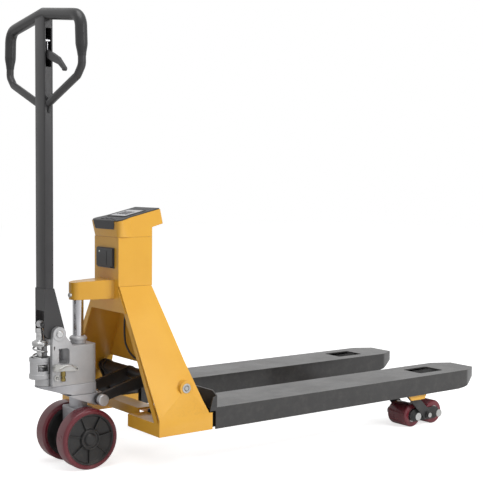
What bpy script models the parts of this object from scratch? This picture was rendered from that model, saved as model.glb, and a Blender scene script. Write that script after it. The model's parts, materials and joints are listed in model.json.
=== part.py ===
"""Hand pallet truck with a built-in weighing scale.

+X runs towards the fork tips, Y across the truck and Z up. The origin is on the floor, midway between the
two steering wheels and straight below their axle. The truck stands half raised: the frame is on its ram and
the load rollers are swung down.
"""

import math

import bmesh
import bpy
from mathutils import Matrix, Vector

# Clearances
GAP = 0.0003  # between pieces that touch
RUN = 0.0003  # radial, round a turning or sliding pin

# Steering wheels
WHEEL_R = 0.085
WHEEL_W = 0.048
WHEEL_Y = 0.062  # middle of each wheel
TYRE_WALL = 0.013
AXLE_R = 0.010
HUB_BOSS_R = 0.026

# Steering axis, stem and thrust plate
STEER_X = 0.006
STEM_R = 0.0255
STEM_HALF_Y = 0.035
PLATE_HALF_Y = 0.047
PLATE_TOP = 0.2055
PLATE_LOW = 0.172
PLATE_END_X = 0.062
BASE_LOW = 0.222
BASE_TOP = 0.236
BASE_END_X = 0.046
BEARING_R = 0.034
BASE_HALF_Y = 0.045
PIN_X = 0.045
PIN_Z = 0.189
PIN_R = 0.009
PIN_COLLAR_R = 0.0165
PIN_COLLAR_LEN = 0.016

# Pump
BLOCK_TOP = 0.345
BLOCK_X = (-0.034, 0.045)
BLOCK_HALF_Y = 0.043
BLOCK_CORNER = 0.018
EAR_IN_Y = 0.029
EAR_OUT_Y = 0.043
GLAND_R = 0.025
GLAND_TOP = 0.366
RAM_R = 0.0155
RAM_LOW = 0.320
CYL_X = -0.112
CYL_R = 0.030
FOOT_X = -0.099
FOOT_R = 0.026
CYL_TOP = 0.3155
CUP_R = 0.0255
CUP_FLOOR = 0.262
SLEEVE_R = 0.0128
SLEEVE_TOP = 0.300
PISTON_R = 0.009
PISTON_LOW = 0.295
SPRING_R = 0.019
SPRING_WIRE = 0.0026
SPRING_TURNS = 6
CAP_LOW = 0.352
CAP_R = 0.0225
BUTTON_TOP = 0.3965
VALVE_X = -0.086
VALVE_Z = 0.289
VALVE_ARM = 0.062

# Handle
HANDLE_PIVOT_X = -0.074
HANDLE_PIVOT_Z = 0.381
HANDLE_PIN_R = 0.008
SHAFT_X = -0.097
SHAFT_D = 0.0268
SHAFT_W = 0.057
SHAFT_WALL = 0.003
SHAFT_LOW = 0.5065
CHEEK_T = 0.004
PRESS_X = -0.110
PRESS_Z = 0.407
PRESS_R = 0.010
PRESS_HALF_Y = 0.009
BOW_TOP_Z = 1.2535
BOW_SHOULDER = (0.168, 1.2325)
BOW_HALF_Y = 0.2135
GRIP_R = 0.0158
GRIP_END_Z = 1.1215
LOOP_R = 0.0105
LOOP_LOW_Z = 1.0105
LOOP_ELBOW = (0.192, 1.0725)
LEVER_PIVOT_Y = -0.010
LEVER_PIVOT_Z = 1.150
LEVER_TIP = (-0.123, 1.092)
ROD_Y = 0.012

# Mast, head and skirt
FRONT_X = 0.100
COL_X = (0.097, 0.2085)
COL_HALF_Y = 0.0683
COL_WALL = 0.004
COL_TOP = 0.6435
CREASE_Z = 0.504
APRON_Z = 0.432
REAR_LOW_Z = 0.262
REAR_LOW_X = 0.2364
SKIRT_T = 0.005
LIP_W = 0.021
FOOT_HALF_Y = 0.2805
FOOT_TOP = 0.163
FOOT_LOW = 0.1158
FOOT_REAR_X = 0.275
FOOT_FACE_TOP = 0.151
BEAM_X = (0.135, 0.190)
BEAM_Z = (0.1375, 0.163)
HEAD_FRONT_X = 0.0890
HEAD_FRONT_Z = 0.688
HEAD_REAR_X = 0.235
HEAD_REAR_Z = 0.7232
HEAD_LOW_X = 0.096
HEAD_WIDE = (0.0865, 0.0765)  # half width of the front at its top and foot
HEAD_MERGE_X = 0.139
HEAD_WALL = 0.0035
PANEL_T = 0.003
ARM_Z = (0.469, 0.520)
ARM_NOSE_R = 0.026
ARM_ROOT_HALF_Y = 0.045
PRINTER_HALF_Y = 0.047
PRINTER_Z = (0.555, 0.613)

# Forks
FORK_W = 0.165
FORK_Y = FOOT_HALF_Y - FORK_W / 2
FORK_TOP = 0.1755
FORK_LOW = 0.1148
COVER_T = 0.004
HEEL_X = 0.286
STOP_TOP = 0.221
TIP_X = 1.402
TIP_HALF_W = 0.045
TAPER_X = 1.333
CUT_X = (1.149, 1.259)
CUT_W = 0.081
RAIL_Y = (0.0665, 0.0715)
RAIL_Z = (0.119, 0.160)
RAIL_X = (0.1585, 1.304)
TAB_X = (1.060, 1.150)
TAB_LOW = 0.097
CELL_SIZE = (0.120, 0.026)
CELL_AT_X = (0.345, 0.900)

# Lifting linkage
ROCK_X = 0.210
ROCK_Z = 0.232
ROCK_R = 0.0125
ROCK_ARM_Y = (0.052, 0.064)
EYE_R = 0.0165
EYE_PLAY = 0.0015
LOWER_ARM = 0.062
LOWER_ARM_DEG = 13.3
LOWER_ARM_Y = (0.0080, 0.0135)
CRANK_PIN_R = 0.006
PUSH_Z = 0.1635
PUSH_HALF_H = 0.0075
PUSH_HALF_Y = 0.0060
SWING_X = 1.0753
SWING_Z = 0.125
SWING_PIN_R = 0.008
SWING_ARM_Y = (0.0545, 0.0595)
LEVER_R = 0.0405
LEVER_DEG = 20.5
LEVER_PIN_R = 0.0035

# Load rollers
ROLLER_R = 0.039
ROLLER_HALF_W = 0.0405
ROLLER_X = 1.117
ROLLER_STEP = 0.098
ROLLER_AXLE_R = 0.008
LINK_Y = (0.0418, 0.0466)
LINK_HALF_H = 0.0195
BOGIE_X = ROLLER_X + ROLLER_STEP / 2
BOGIE_BOLT = (0.0595, 0.0655, 0.011)

FINISHES = {
    "orange_paint": ((0.80, 0.46, 0.06), 0.38, 0.0),
    "black_paint": ((0.030, 0.029, 0.029), 0.42, 0.0),
    "handle_black": ((0.040, 0.038, 0.040), 0.45, 0.0),
    "grip_rubber": ((0.022, 0.021, 0.022), 0.60, 0.0),
    "cast_silver": ((0.56, 0.56, 0.57), 0.42, 0.75),
    "plate_grey": ((0.25, 0.25, 0.27), 0.50, 0.3),
    "chrome": ((0.80, 0.80, 0.82), 0.12, 1.0),
    "zinc": ((0.66, 0.66, 0.66), 0.30, 0.9),
    "dark_steel": ((0.05, 0.05, 0.055), 0.50, 0.6),
    "maroon_tyre": ((0.26, 0.035, 0.055), 0.45, 0.0),
    "hub_black": ((0.025, 0.025, 0.026), 0.50, 0.0),
    "panel_grey": ((0.10, 0.10, 0.12), 0.35, 0.0),
    "display_glass": ((0.55, 0.58, 0.56), 0.15, 0.0),
    "key_grey": ((0.30, 0.31, 0.33), 0.50, 0.0),
    "cable_black": ((0.02, 0.02, 0.02), 0.55, 0.0),
}


# ---------------------------------------------------------------- shapes


def clear_scene():
    for obj in list(bpy.data.objects):
        bpy.data.objects.remove(obj, do_unlink=True)


def material(finish):
    found = bpy.data.materials.get(finish)
    if found:
        return found
    color, roughness, metallic = FINISHES[finish]
    made = bpy.data.materials.new(finish)
    made.use_nodes = True
    shader = made.node_tree.nodes["Principled BSDF"]
    shader.inputs["Base Color"].default_value = (*color, 1.0)
    shader.inputs["Roughness"].default_value = roughness
    shader.inputs["Metallic"].default_value = metallic
    return made


def axis_matrix(axis):
    """Turns local x, y, z so that local z lies along the axis, with x and y the other two in X, Y, Z order."""
    if axis == "X":
        return Matrix(((0, 0, 1), (1, 0, 0), (0, 1, 0))).to_4x4()
    if axis == "Y":
        return Matrix(((1, 0, 0), (0, 0, 1), (0, 1, 0))).to_4x4()
    return Matrix.Identity(4)


def prism(points, axis, low, high):
    """An outline in the two other directions, in X, Y, Z order, extruded along the axis."""
    bm = bmesh.new()
    turn = axis_matrix(axis)
    bottom = [bm.verts.new(turn @ Vector((a, b, low))) for a, b in points]
    top = [bm.verts.new(turn @ Vector((a, b, high))) for a, b in points]
    bm.faces.new(bottom)
    bm.faces.new(list(reversed(top)))
    count = len(points)
    for i in range(count):
        j = (i + 1) % count
        bm.faces.new((bottom[i], top[i], top[j], bottom[j]))
    return bm


def block(x, y, z):
    return prism(((x[0], y[0]), (x[1], y[0]), (x[1], y[1]), (x[0], y[1])), "Z", z[0], z[1])


def hull_of(corners):
    """The convex solid round a few corner points."""
    bm = bmesh.new()
    for corner in corners:
        bm.verts.new(corner)
    made = bmesh.ops.convex_hull(bm, input=list(bm.verts))
    loose = [v for v in made["geom_interior"] if isinstance(v, bmesh.types.BMVert)]
    bmesh.ops.delete(bm, geom=loose, context="VERTS")
    return bm


def turned(profile, centre, axis, steps=24):
    """A closed outline of (radius, place along the axis) turned round the axis through centre."""
    bm = bmesh.new()
    turn = Matrix.Translation(centre) @ axis_matrix(axis)
    rings = []
    for radius, along in profile:
        if radius < 1e-7:
            rings.append([bm.verts.new(turn @ Vector((0, 0, along)))])
            continue
        ring = []
        for i in range(steps):
            angle = 2 * math.pi * i / steps
            ring.append(bm.verts.new(turn @ Vector((radius * math.cos(angle), radius * math.sin(angle), along))))
        rings.append(ring)
    for k, ring in enumerate(rings):
        other = rings[(k + 1) % len(rings)]
        if len(ring) == 1 and len(other) == 1:
            continue
        for i in range(steps):
            j = (i + 1) % steps
            corners = [ring[i % len(ring)], ring[j % len(ring)], other[j % len(other)], other[i % len(other)]]
            bm.faces.new(list(dict.fromkeys(corners)))
    return bm


def rod(centre, radius, axis, low, high, steps=20):
    """A plain round bar; low and high are places along the axis in world metres."""
    base = Vector(centre)
    base["XYZ".index(axis)] = 0
    return turned(((0, low), (radius, low), (radius, high), (0, high)), base, axis, steps)


def arc(centre, radius, start, end, steps):
    """Points on an arc, angles in degrees."""
    found = []
    for i in range(steps + 1):
        angle = math.radians(start + (end - start) * i / steps)
        found.append((centre[0] + radius * math.cos(angle), centre[1] + radius * math.sin(angle)))
    return found


def strap(a, b, radius_a, radius_b, steps=8):
    """The outline of a link: a round end at each of two points, with straight sides."""
    way = Vector(b) - Vector(a)
    heading = math.degrees(math.atan2(way.y, way.x))
    lean = math.degrees(math.asin((radius_a - radius_b) / way.length))
    around_b = arc(b, radius_b, heading - 90 + lean, heading + 90 - lean, steps)
    around_a = arc(a, radius_a, heading + 90 - lean, heading + 270 + lean, steps)
    return around_b + around_a


def rounded(points, radii, steps=6):
    """An open or closed run of 2-D points with each inner corner turned into an arc of its radius."""
    found = []
    for i, corner in enumerate(points):
        if not radii[i]:
            found.append(corner)
            continue
        here = Vector(corner)
        back = (Vector(points[i - 1]) - here).normalized()
        ahead = (Vector(points[(i + 1) % len(points)]) - here).normalized()
        half = back.angle(ahead) / 2
        reach = radii[i] / math.tan(half)
        middle = here + (back + ahead).normalized() * (radii[i] / math.sin(half))
        first = here + back * reach - middle
        last = here + ahead * reach - middle
        sweep = first.angle_signed(last)
        for k in range(steps + 1):
            turned_way = first.copy()
            turned_way.rotate(Matrix.Rotation(-sweep * k / steps, 2))
            found.append(tuple(middle + turned_way))
    return found


def swept(path, radius, sides=12):
    """A round bar along a path of 3-D points, with flat ends."""
    bm = bmesh.new()
    points = [Vector(p) for p in path]
    rings = []
    normal = None
    for i, here in enumerate(points):
        way = points[min(i + 1, len(points) - 1)] - points[max(i - 1, 0)]
        way.normalize()
        if normal is None:
            normal = way.orthogonal().normalized()
        normal = (normal - way * normal.dot(way)).normalized()
        across = way.cross(normal)
        ring = []
        for k in range(sides):
            angle = 2 * math.pi * k / sides
            ring.append(bm.verts.new(here + radius * (math.cos(angle) * normal + math.sin(angle) * across)))
        rings.append(ring)
    for first, second in zip(rings, rings[1:]):
        for k in range(sides):
            j = (k + 1) % sides
            bm.faces.new((first[k], first[j], second[j], second[k]))
    bm.faces.new(list(reversed(rings[0])))
    bm.faces.new(rings[-1])
    return bm


# ---------------------------------------------------------------- objects


def make(name, bm):
    bmesh.ops.recalc_face_normals(bm, faces=list(bm.faces))
    mesh = bpy.data.meshes.new(name)
    bm.to_mesh(mesh)
    bm.free()
    mesh.shade_smooth()
    mesh.set_sharp_from_angle(angle=math.radians(35))
    made = bpy.data.objects.new(name, mesh)
    bpy.context.scene.collection.objects.link(made)
    return made


def piece(name, bm, finish, joint=None, add=(), cut=(), keep=()):
    """One sub-part: a shape, with others joined to it, cut out of it, or bounding it."""
    made = make(name, bm)
    made.data.materials.append(material(finish))
    for operation, shapes in (("UNION", add), ("INTERSECT", keep), ("DIFFERENCE", cut)):
        for shape in shapes:
            helper = make(f"{name}_{operation.lower()}", shape)
            helper.hide_render = True
            helper.display_type = "WIRE"
            step = made.modifiers.new(operation.title(), "BOOLEAN")
            step.operation = operation
            step.object = helper
    if joint:
        made.parent = joint
        made.matrix_parent_inverse = joint.matrix_world.inverted()
    return made


def axis_point(name, place, parent=None):
    """An empty on a joint's axis, which its pieces hang from."""
    made = bpy.data.objects.new(name, None)
    bpy.context.scene.collection.objects.link(made)
    made.location = place
    made.empty_display_size = 0.03
    bpy.context.view_layer.update()
    if parent:
        made.parent = parent
        made.matrix_parent_inverse = parent.matrix_world.inverted()
        bpy.context.view_layer.update()
    return made


SIDES = (("left", 1), ("right", -1))


def span(side, near, far):
    """Two distances from the middle plane as low and high Y on one side."""
    return tuple(sorted((side * near, side * far)))


def skirt_half(z, inset=0.0):
    """Half width of the flared skirt's outside at a height, moved in by inset."""
    flare = (FOOT_HALF_Y - COL_HALF_Y) / (CREASE_Z - FOOT_TOP)
    return min(COL_HALF_Y + flare * (CREASE_Z - z), FOOT_HALF_Y) - inset


# ---------------------------------------------------------------- base


def thrust_plate():
    slope = (PLATE_TOP - 0.001, PLATE_LOW)
    outline = (
        (STEER_X - 0.053, PLATE_TOP),
        (PLATE_END_X, PLATE_TOP),
        (PLATE_END_X, PLATE_LOW),
        (0.034, PLATE_LOW),
        (STEER_X - 0.053, slope[0]),
    )
    plan = rounded(
        ((-0.047, -PLATE_HALF_Y), (PLATE_END_X, -PLATE_HALF_Y), (PLATE_END_X, PLATE_HALF_Y), (-0.047, PLATE_HALF_Y)),
        (0.012, 0.016, 0.016, 0.012),
    )
    piece(
        "thrust_plate",
        prism(outline, "Y", -PLATE_HALF_Y, PLATE_HALF_Y),
        "plate_grey",
        keep=(prism(plan, "Z", PLATE_LOW - 0.01, PLATE_TOP + 0.01),),
        cut=(
            rod((STEER_X, 0, 0), STEM_R + RUN, "Z", PLATE_LOW - 0.02, PLATE_TOP + 0.02, 32),
            rod((PIN_X, 0, PIN_Z), PIN_R + RUN, "Y", -0.1, 0.1),
        ),
    )


def thrust_pin():
    inner = ROCK_ARM_Y[1] + 0.0008
    outer = inner + PIN_COLLAR_LEN
    chamfer = 0.0025
    half = ((0, outer), (PIN_COLLAR_R - chamfer, outer), (PIN_COLLAR_R, outer - chamfer), (PIN_COLLAR_R, inner), (PIN_R, inner))
    profile = half + tuple((r, -y) for r, y in reversed(half))
    piece("thrust_pin", turned(profile, (PIN_X, 0, PIN_Z), "Y"), "zinc")


def thrust_bearing():
    low, high = PLATE_TOP + GAP, BASE_LOW - GAP
    step = (low + high) / 2
    profile = ((STEM_R + RUN, low), (BEARING_R, low), (BEARING_R, step), (BEARING_R - 0.002, step), (BEARING_R - 0.002, high), (STEM_R + RUN, high))
    piece("thrust_bearing", turned(profile, (STEER_X, 0, 0), "Z"), "dark_steel")


# ---------------------------------------------------------------- steered pump and wheels


def pump_base(steer):
    skirt = PLATE_TOP + 0.0008
    outline = (
        (-0.150, BASE_TOP),
        (BASE_END_X, BASE_TOP),
        (BASE_END_X, skirt),
        (-0.0380, skirt),
        (-0.0400, 0.2088),
        (-0.060, 0.2125),
        (-0.128, 0.2325),
        (-0.150, 0.2335),
    )
    foot = arc((FOOT_X, 0), FOOT_R + 0.0012, 120, 240, 8)
    corner = rounded(
        ((-0.060, -BASE_HALF_Y), (BASE_END_X, -BASE_HALF_Y), (BASE_END_X, BASE_HALF_Y), (-0.060, BASE_HALF_Y)),
        (0.0, 0.018, 0.018, 0.0),
        4,
    )
    piece(
        "pump_base",
        prism(outline, "Y", -0.06, 0.06),
        "plate_grey",
        steer,
        keep=(prism(foot + corner, "Z", 0.19, 0.26),),
        cut=(
            rod((STEER_X, 0, 0), BEARING_R + 0.0008, "Z", 0.19, BASE_LOW, 32),
            rod((STEER_X, 0, 0), RAM_R + 2 * RUN, "Z", BASE_LOW + 0.003, BASE_TOP + 0.02, 28),
        ),
    )


def pump_casting(steer):
    floor = BASE_TOP + GAP
    tank = rounded(
        (
            (BLOCK_X[0], -BLOCK_HALF_Y),
            (BLOCK_X[1], -BLOCK_HALF_Y),
            (BLOCK_X[1], BLOCK_HALF_Y),
            (BLOCK_X[0], BLOCK_HALF_Y),
        ),
        (0.006, BLOCK_CORNER, BLOCK_CORNER, 0.006),
        5,
    )
    boss_r = 0.0195
    pivot = (HANDLE_PIVOT_X, HANDLE_PIVOT_Z)
    ear = [(-0.096, floor), (-0.022, floor), (-0.022, BLOCK_TOP - 0.001), (-0.0310, BLOCK_TOP - 0.001)]
    ear += arc(pivot, boss_r, -17, 170, 10)
    ear += [(-0.096, 0.345)]
    ears = [prism(ear, "Y", *span(side, EAR_IN_Y, EAR_OUT_Y)) for _, side in SIDES]
    ears += [rod((pivot[0], 0, pivot[1]), boss_r, "Y", *span(side, 0.040, EAR_OUT_Y + 0.0015), steps=28) for _, side in SIDES]
    web = block((-0.076, BLOCK_X[0] + 0.01), (-0.022, 0.022), (floor, 0.296))
    tie = block((-0.076, -0.040), (-EAR_IN_Y - 0.002, EAR_IN_Y + 0.002), (floor, 0.283))
    hole = ((-0.0757, 0.3005), (-0.0700, 0.2965), (-0.0460, 0.2965), (-0.0435, 0.3010), (-0.0435, 0.3345), (-0.0490, 0.3400), (-0.0757, 0.3400))
    window = prism(hole, "Y", -0.06, 0.06)
    keyhole = prism(strap((-0.0893, 0.3465), (-0.0893, 0.3385), 0.0017, 0.0012, 4), "Y", -0.06, 0.06)
    ram_bore = rod((STEER_X, 0, 0), RAM_R + RUN, "Z", floor - 0.02, BLOCK_TOP + 0.02, 28)
    pin_bore = rod((*pivot[:1], 0, pivot[1]), HANDLE_PIN_R + RUN, "Y", -0.06, 0.06)
    valve_bore = rod((VALVE_X, 0, VALVE_Z), 0.004 + RUN, "Y", -0.06, -0.02, 12)
    piece(
        "pump_casting",
        prism(tank, "Z", floor, BLOCK_TOP),
        "cast_silver",
        steer,
        add=(*ears, web, tie),
        cut=(window, keyhole, ram_bore, pin_bore, valve_bore),
    )


def pump_cylinder(steer):
    floor = BASE_TOP + GAP
    low = CUP_FLOOR - 0.0060
    bore = PISTON_R + RUN
    profile = (
        (bore, low),
        (0.0290, low),
        (CYL_R + 0.0005, low + 0.0015),
        (CYL_R + 0.0005, low + 0.0125),
        (CYL_R - 0.0015, low + 0.0145),
        (CYL_R - 0.0015, CYL_TOP - 0.0125),
        (CYL_R, CYL_TOP - 0.0110),
        (CYL_R, CYL_TOP - 0.0015),
        (CYL_R - 0.0010, CYL_TOP),
        (CUP_R, CYL_TOP),
        (CUP_R, CUP_FLOOR),
        (SLEEVE_R, CUP_FLOOR),
        (SLEEVE_R, SLEEVE_TOP),
        (bore, SLEEVE_TOP),
    )
    foot = rod((FOOT_X, 0, 0), FOOT_R, "Z", floor, low + 0.001, 24)
    ear_relief = [block((-0.0964, -0.05), span(side, EAR_IN_Y - 0.0003, 0.06), (0.2, 0.35)) for _, side in SIDES]
    web_relief = block((-0.0765, -0.05), (-0.03, 0.03), (0.2, 0.35))
    window = [block((-0.1380, -0.1000), span(side, 0.0205, 0.040), (0.2790, 0.2975)) for _, side in SIDES]
    well = rod((CYL_X, 0, 0), bore, "Z", floor + 0.003, low + 0.004, 22)
    piece(
        "pump_cylinder",
        turned(profile, (CYL_X, 0, 0), "Z", 22),
        "cast_silver",
        steer,
        add=(foot,),
        cut=(*ear_relief, web_relief, *window, well),
    )


def gland_nut(steer):
    low = BLOCK_TOP + GAP
    profile = (
        (RAM_R + RUN, low),
        (GLAND_R - 0.003, low),
        (GLAND_R - 0.003, GLAND_TOP - 0.0115),
        (GLAND_R, GLAND_TOP - 0.0105),
        (GLAND_R, GLAND_TOP - 0.0040),
        (GLAND_R - 0.003, GLAND_TOP),
        (RAM_R + RUN, GLAND_TOP),
    )
    piece("gland_nut", turned(profile, (STEER_X, 0, 0), "Z", 28), "cast_silver", steer)


def steering_stem(steer):
    shank = rod((STEER_X, 0, 0), STEM_R, "Z", 0.140, BASE_LOW - GAP, 32)
    side_view = rounded(
        ((-0.026, 0.166), (-0.022, WHEEL_R - 0.022), (0.026, WHEEL_R - 0.022), (0.033, 0.166)),
        (0.004, 0.016, 0.016, 0.004),
    )
    piece(
        "steering_stem",
        prism(side_view, "Y", -STEM_HALF_Y, STEM_HALF_Y),
        "plate_grey",
        steer,
        add=(shank,),
        cut=(rod((0, 0, WHEEL_R), AXLE_R + RUN, "Y", -0.06, 0.06),),
    )


def wheel_axle(steer):
    end = WHEEL_Y + 0.015
    piece("wheel_axle", rod((0, 0, WHEEL_R), AXLE_R, "Y", -end, end), "zinc", steer)


def steering_wheel(side_name, side, joint):
    rim = WHEEL_R - TYRE_WALL
    half = WHEEL_W / 2
    tread = rounded(
        ((rim, -half), (WHEEL_R, -half), (WHEEL_R, half), (rim, half)),
        (0, 0.007, 0.007, 0),
        2,
    )
    centre = (0, side * WHEEL_Y, WHEEL_R)
    piece(f"steer_tyre_{side_name}", turned(tread, centre, "Y", 36), "maroon_tyre", joint)
    bore = AXLE_R + RUN
    rim_in = rim - GAP
    hub = (
        (bore, -half + 0.001),
        (HUB_BOSS_R, -half + 0.001),
        (HUB_BOSS_R, -0.009),
        (rim_in - 0.011, -0.007),
        (rim_in - 0.008, -half + 0.001),
        (rim_in, -half + 0.001),
        (rim_in, half - 0.0015),
        (rim_in - 0.004, half - 0.0015),
        (rim_in - 0.010, half - 0.006),
        (HUB_BOSS_R + 0.004, half - 0.006),
        (HUB_BOSS_R, half - 0.002),
        (HUB_BOSS_R - 0.003, half),
        (0.018, half),
        (0.0165, half - 0.0015),
        (0.010, half + 0.0015),
        (0, half + 0.0025),
        (0, half - 0.008),
        (bore, half - 0.008),
    )
    profile = tuple((r, side * y) for r, y in hub)
    piece(f"steer_hub_{side_name}", turned(profile, centre, "Y", 28), "hub_black", joint)


def handle_pin(steer):
    head = EAR_OUT_Y + 0.0015 + GAP
    half = ((0, head + 0.0045), (0.0085, head + 0.0045), (0.0100, head + 0.0030), (0.0100, head), (HANDLE_PIN_R, head))
    profile = half + tuple((r, -y) for r, y in reversed(half))
    piece("handle_pin", turned(profile, (HANDLE_PIVOT_X, 0, HANDLE_PIVOT_Z), "Y", 20), "zinc", steer)


def pump_spring(steer):
    low = CUP_FLOOR + GAP + SPRING_WIRE
    high = CAP_LOW - GAP - SPRING_WIRE
    per_turn = 10
    steps = SPRING_TURNS * per_turn
    path = []
    for i in range(steps + 1):
        angle = 2 * math.pi * i / per_turn
        height = low + (high - low) * i / steps
        path.append((CYL_X + SPRING_R * math.cos(angle), SPRING_R * math.sin(angle), height))
    piece("pump_spring", swept(path, SPRING_WIRE, 6), "zinc", steer)


def pump_plunger(joint):
    profile = (
        (0, PISTON_LOW),
        (PISTON_R, PISTON_LOW),
        (PISTON_R, CAP_LOW),
        (CAP_R, CAP_LOW),
        (CAP_R, CAP_LOW + 0.005),
        (CAP_R - 0.004, CAP_LOW + 0.009),
        (0.011, CAP_LOW + 0.011),
        (0.010, BUTTON_TOP - 0.002),
        (0.0085, BUTTON_TOP),
        (0, BUTTON_TOP),
    )
    piece("pump_plunger", turned(profile, (CYL_X, 0, 0), "Z", 24), "zinc", joint)


def release_lever(joint):
    near = -EAR_OUT_Y - GAP
    arm = prism(
        strap((VALVE_X, VALVE_Z), (VALVE_X + VALVE_ARM, VALVE_Z - 0.008), 0.010, 0.0065, 6),
        "Y",
        near - 0.006,
        near,
    )
    hub = rod((VALVE_X, 0, VALVE_Z), 0.007, "Y", near - 0.010, near - 0.003, 12)
    spindle = rod((VALVE_X, 0, VALVE_Z), 0.004, "Y", near - 0.004, near + 0.010, 12)
    hole = rod((VALVE_X + VALVE_ARM, 0, VALVE_Z - 0.008), 0.0032, "Y", near - 0.02, near + 0.01, 10)
    piece("release_lever", arm, "zinc", joint, add=(hub, spindle), cut=(hole,))


# ---------------------------------------------------------------- handle


def handle_bracket(joint):
    outer = SHAFT_W / 2
    front = SHAFT_X - SHAFT_D / 2 - 0.0015
    rear = SHAFT_X + SHAFT_D / 2 + 0.0015
    cheek = [(front, SHAFT_LOW - GAP), (front, 0.380), (front + 0.007, 0.371)]
    cheek += arc((HANDLE_PIVOT_X + 0.004, HANDLE_PIVOT_Z - 0.001), 0.0215, 240, 372, 7)
    cheek += [(rear, SHAFT_LOW - GAP)]
    cheeks = [prism(cheek, "Y", *span(side, outer - CHEEK_T, outer)) for _, side in SIDES]
    inside = (-outer + CHEEK_T / 2, outer - CHEEK_T / 2)
    web = block((front, front + 0.004), inside, (0.445, SHAFT_LOW - GAP))
    roller_pin = rod((PRESS_X, 0, PRESS_Z), 0.004, "Y", *inside, steps=12)
    crown = block((front, rear), inside, (SHAFT_LOW - 0.006, SHAFT_LOW - GAP))
    piece(
        "handle_bracket",
        cheeks[0],
        "handle_black",
        joint,
        add=(crown, cheeks[1], web, roller_pin),
        cut=(rod((HANDLE_PIVOT_X, 0, HANDLE_PIVOT_Z), HANDLE_PIN_R + RUN, "Y", -0.05, 0.05),),
    )


def handle_shaft(joint):
    half_d, half_w = SHAFT_D / 2, SHAFT_W / 2
    top = BOW_TOP_Z - GRIP_R + 0.006
    saddle = swept(bow_path(), GRIP_R + GAP, 12)
    outer = rounded(
        (
            (SHAFT_X - half_d, -half_w),
            (SHAFT_X + half_d, -half_w),
            (SHAFT_X + half_d, half_w),
            (SHAFT_X - half_d, half_w),
        ),
        (0.003,) * 4,
        2,
    )
    hollow = block(
        (SHAFT_X - half_d + SHAFT_WALL, SHAFT_X + half_d - SHAFT_WALL),
        (-half_w + SHAFT_WALL, half_w - SHAFT_WALL),
        (SHAFT_LOW - 0.01, top - 0.013),
    )
    slot = block((SHAFT_X - 0.0085, SHAFT_X + 0.0085), (-half_w - 0.01, -half_w + 0.01), (1.108, 1.212))
    bar = prism(outer, "Z", SHAFT_LOW, top)
    piece("handle_shaft", bar, "handle_black", joint, cut=(hollow, slot, saddle))


def bow_path():
    """The handle's bow, from the lower end of one grip up and over to the other's."""
    half = rounded(
        ((BOW_HALF_Y + 0.003, GRIP_END_Z), (BOW_HALF_Y, 1.165), (BOW_HALF_Y - 0.003, BOW_SHOULDER[1] - 0.007), BOW_SHOULDER, (0, BOW_TOP_Z)),
        (0, 0.10, 0.036, 0.060, 0),
        4,
    )
    other = [(-y, z) for y, z in reversed(half[:-1])]
    return [(SHAFT_X, y, z) for y, z in [*half, *other]]


def grip_bow(joint):
    piece("grip_bow", swept(bow_path(), GRIP_R, 12), "grip_rubber", joint)


def loop_tube(side_name, side, joint):
    route = rounded(
        ((SHAFT_W / 2 + GAP, LOOP_LOW_Z), LOOP_ELBOW, (BOW_HALF_Y + 0.0035, 1.098), (BOW_HALF_Y + 0.003, GRIP_END_Z - GAP)),
        (0, 0.022, 0.022, 0),
        4,
    )
    route[-1] = (route[-1][0], GRIP_END_Z - 0.0006)
    bar = swept([(SHAFT_X, side * y, z) for y, z in route], LOOP_R, 10)
    trim = block((SHAFT_X - 0.03, SHAFT_X + 0.03), span(side, 0, SHAFT_W / 2 + GAP), (0.95, 1.1))
    piece(f"loop_tube_{side_name}", bar, "handle_black", joint, cut=(trim,))


def pressing_roller(joint):
    bore = 0.004 + RUN
    half = PRESS_HALF_Y
    profile = rounded(
        ((bore, -half), (PRESS_R, -half), (PRESS_R, half), (bore, half)),
        (0, 0.0015, 0.0015, 0),
        2,
    )
    piece("pressing_roller", turned(profile, (PRESS_X, 0, PRESS_Z), "Y", 20), "zinc", joint)


def control_lever(joint):
    root = (LEVER_PIVOT_Y + 0.028, LEVER_PIVOT_Z + 0.003)
    outline = [root, (LEVER_PIVOT_Y, LEVER_PIVOT_Z + 0.010), (-0.052, 1.1445), (-0.092, 1.1275)]
    outline += arc((LEVER_TIP[0] + 0.002, LEVER_TIP[1] + 0.004), 0.0065, 160, 350, 6)
    outline += [(-0.094, 1.108), (-0.052, 1.1215), (LEVER_PIVOT_Y, LEVER_PIVOT_Z - 0.010)]
    outline += [(root[0], root[1] - 0.009)]
    blade = prism(outline, "X", SHAFT_X - 0.0055, SHAFT_X + 0.0055)
    stub = SHAFT_D / 2 - SHAFT_WALL - GAP
    pin = rod((0, LEVER_PIVOT_Y, LEVER_PIVOT_Z), 0.0035, "X", SHAFT_X - stub, SHAFT_X + stub, 12)
    piece("control_lever", blade, "handle_black", joint, add=(pin,))


def control_rod(joint):
    top = LEVER_PIVOT_Z - 0.0085
    wire = rod((SHAFT_X, ROD_Y, 0), 0.003, "Z", 0.513, top, 10)
    piece("control_rod", wire, "zinc", joint)


# ---------------------------------------------------------------- mast and skirt


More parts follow.
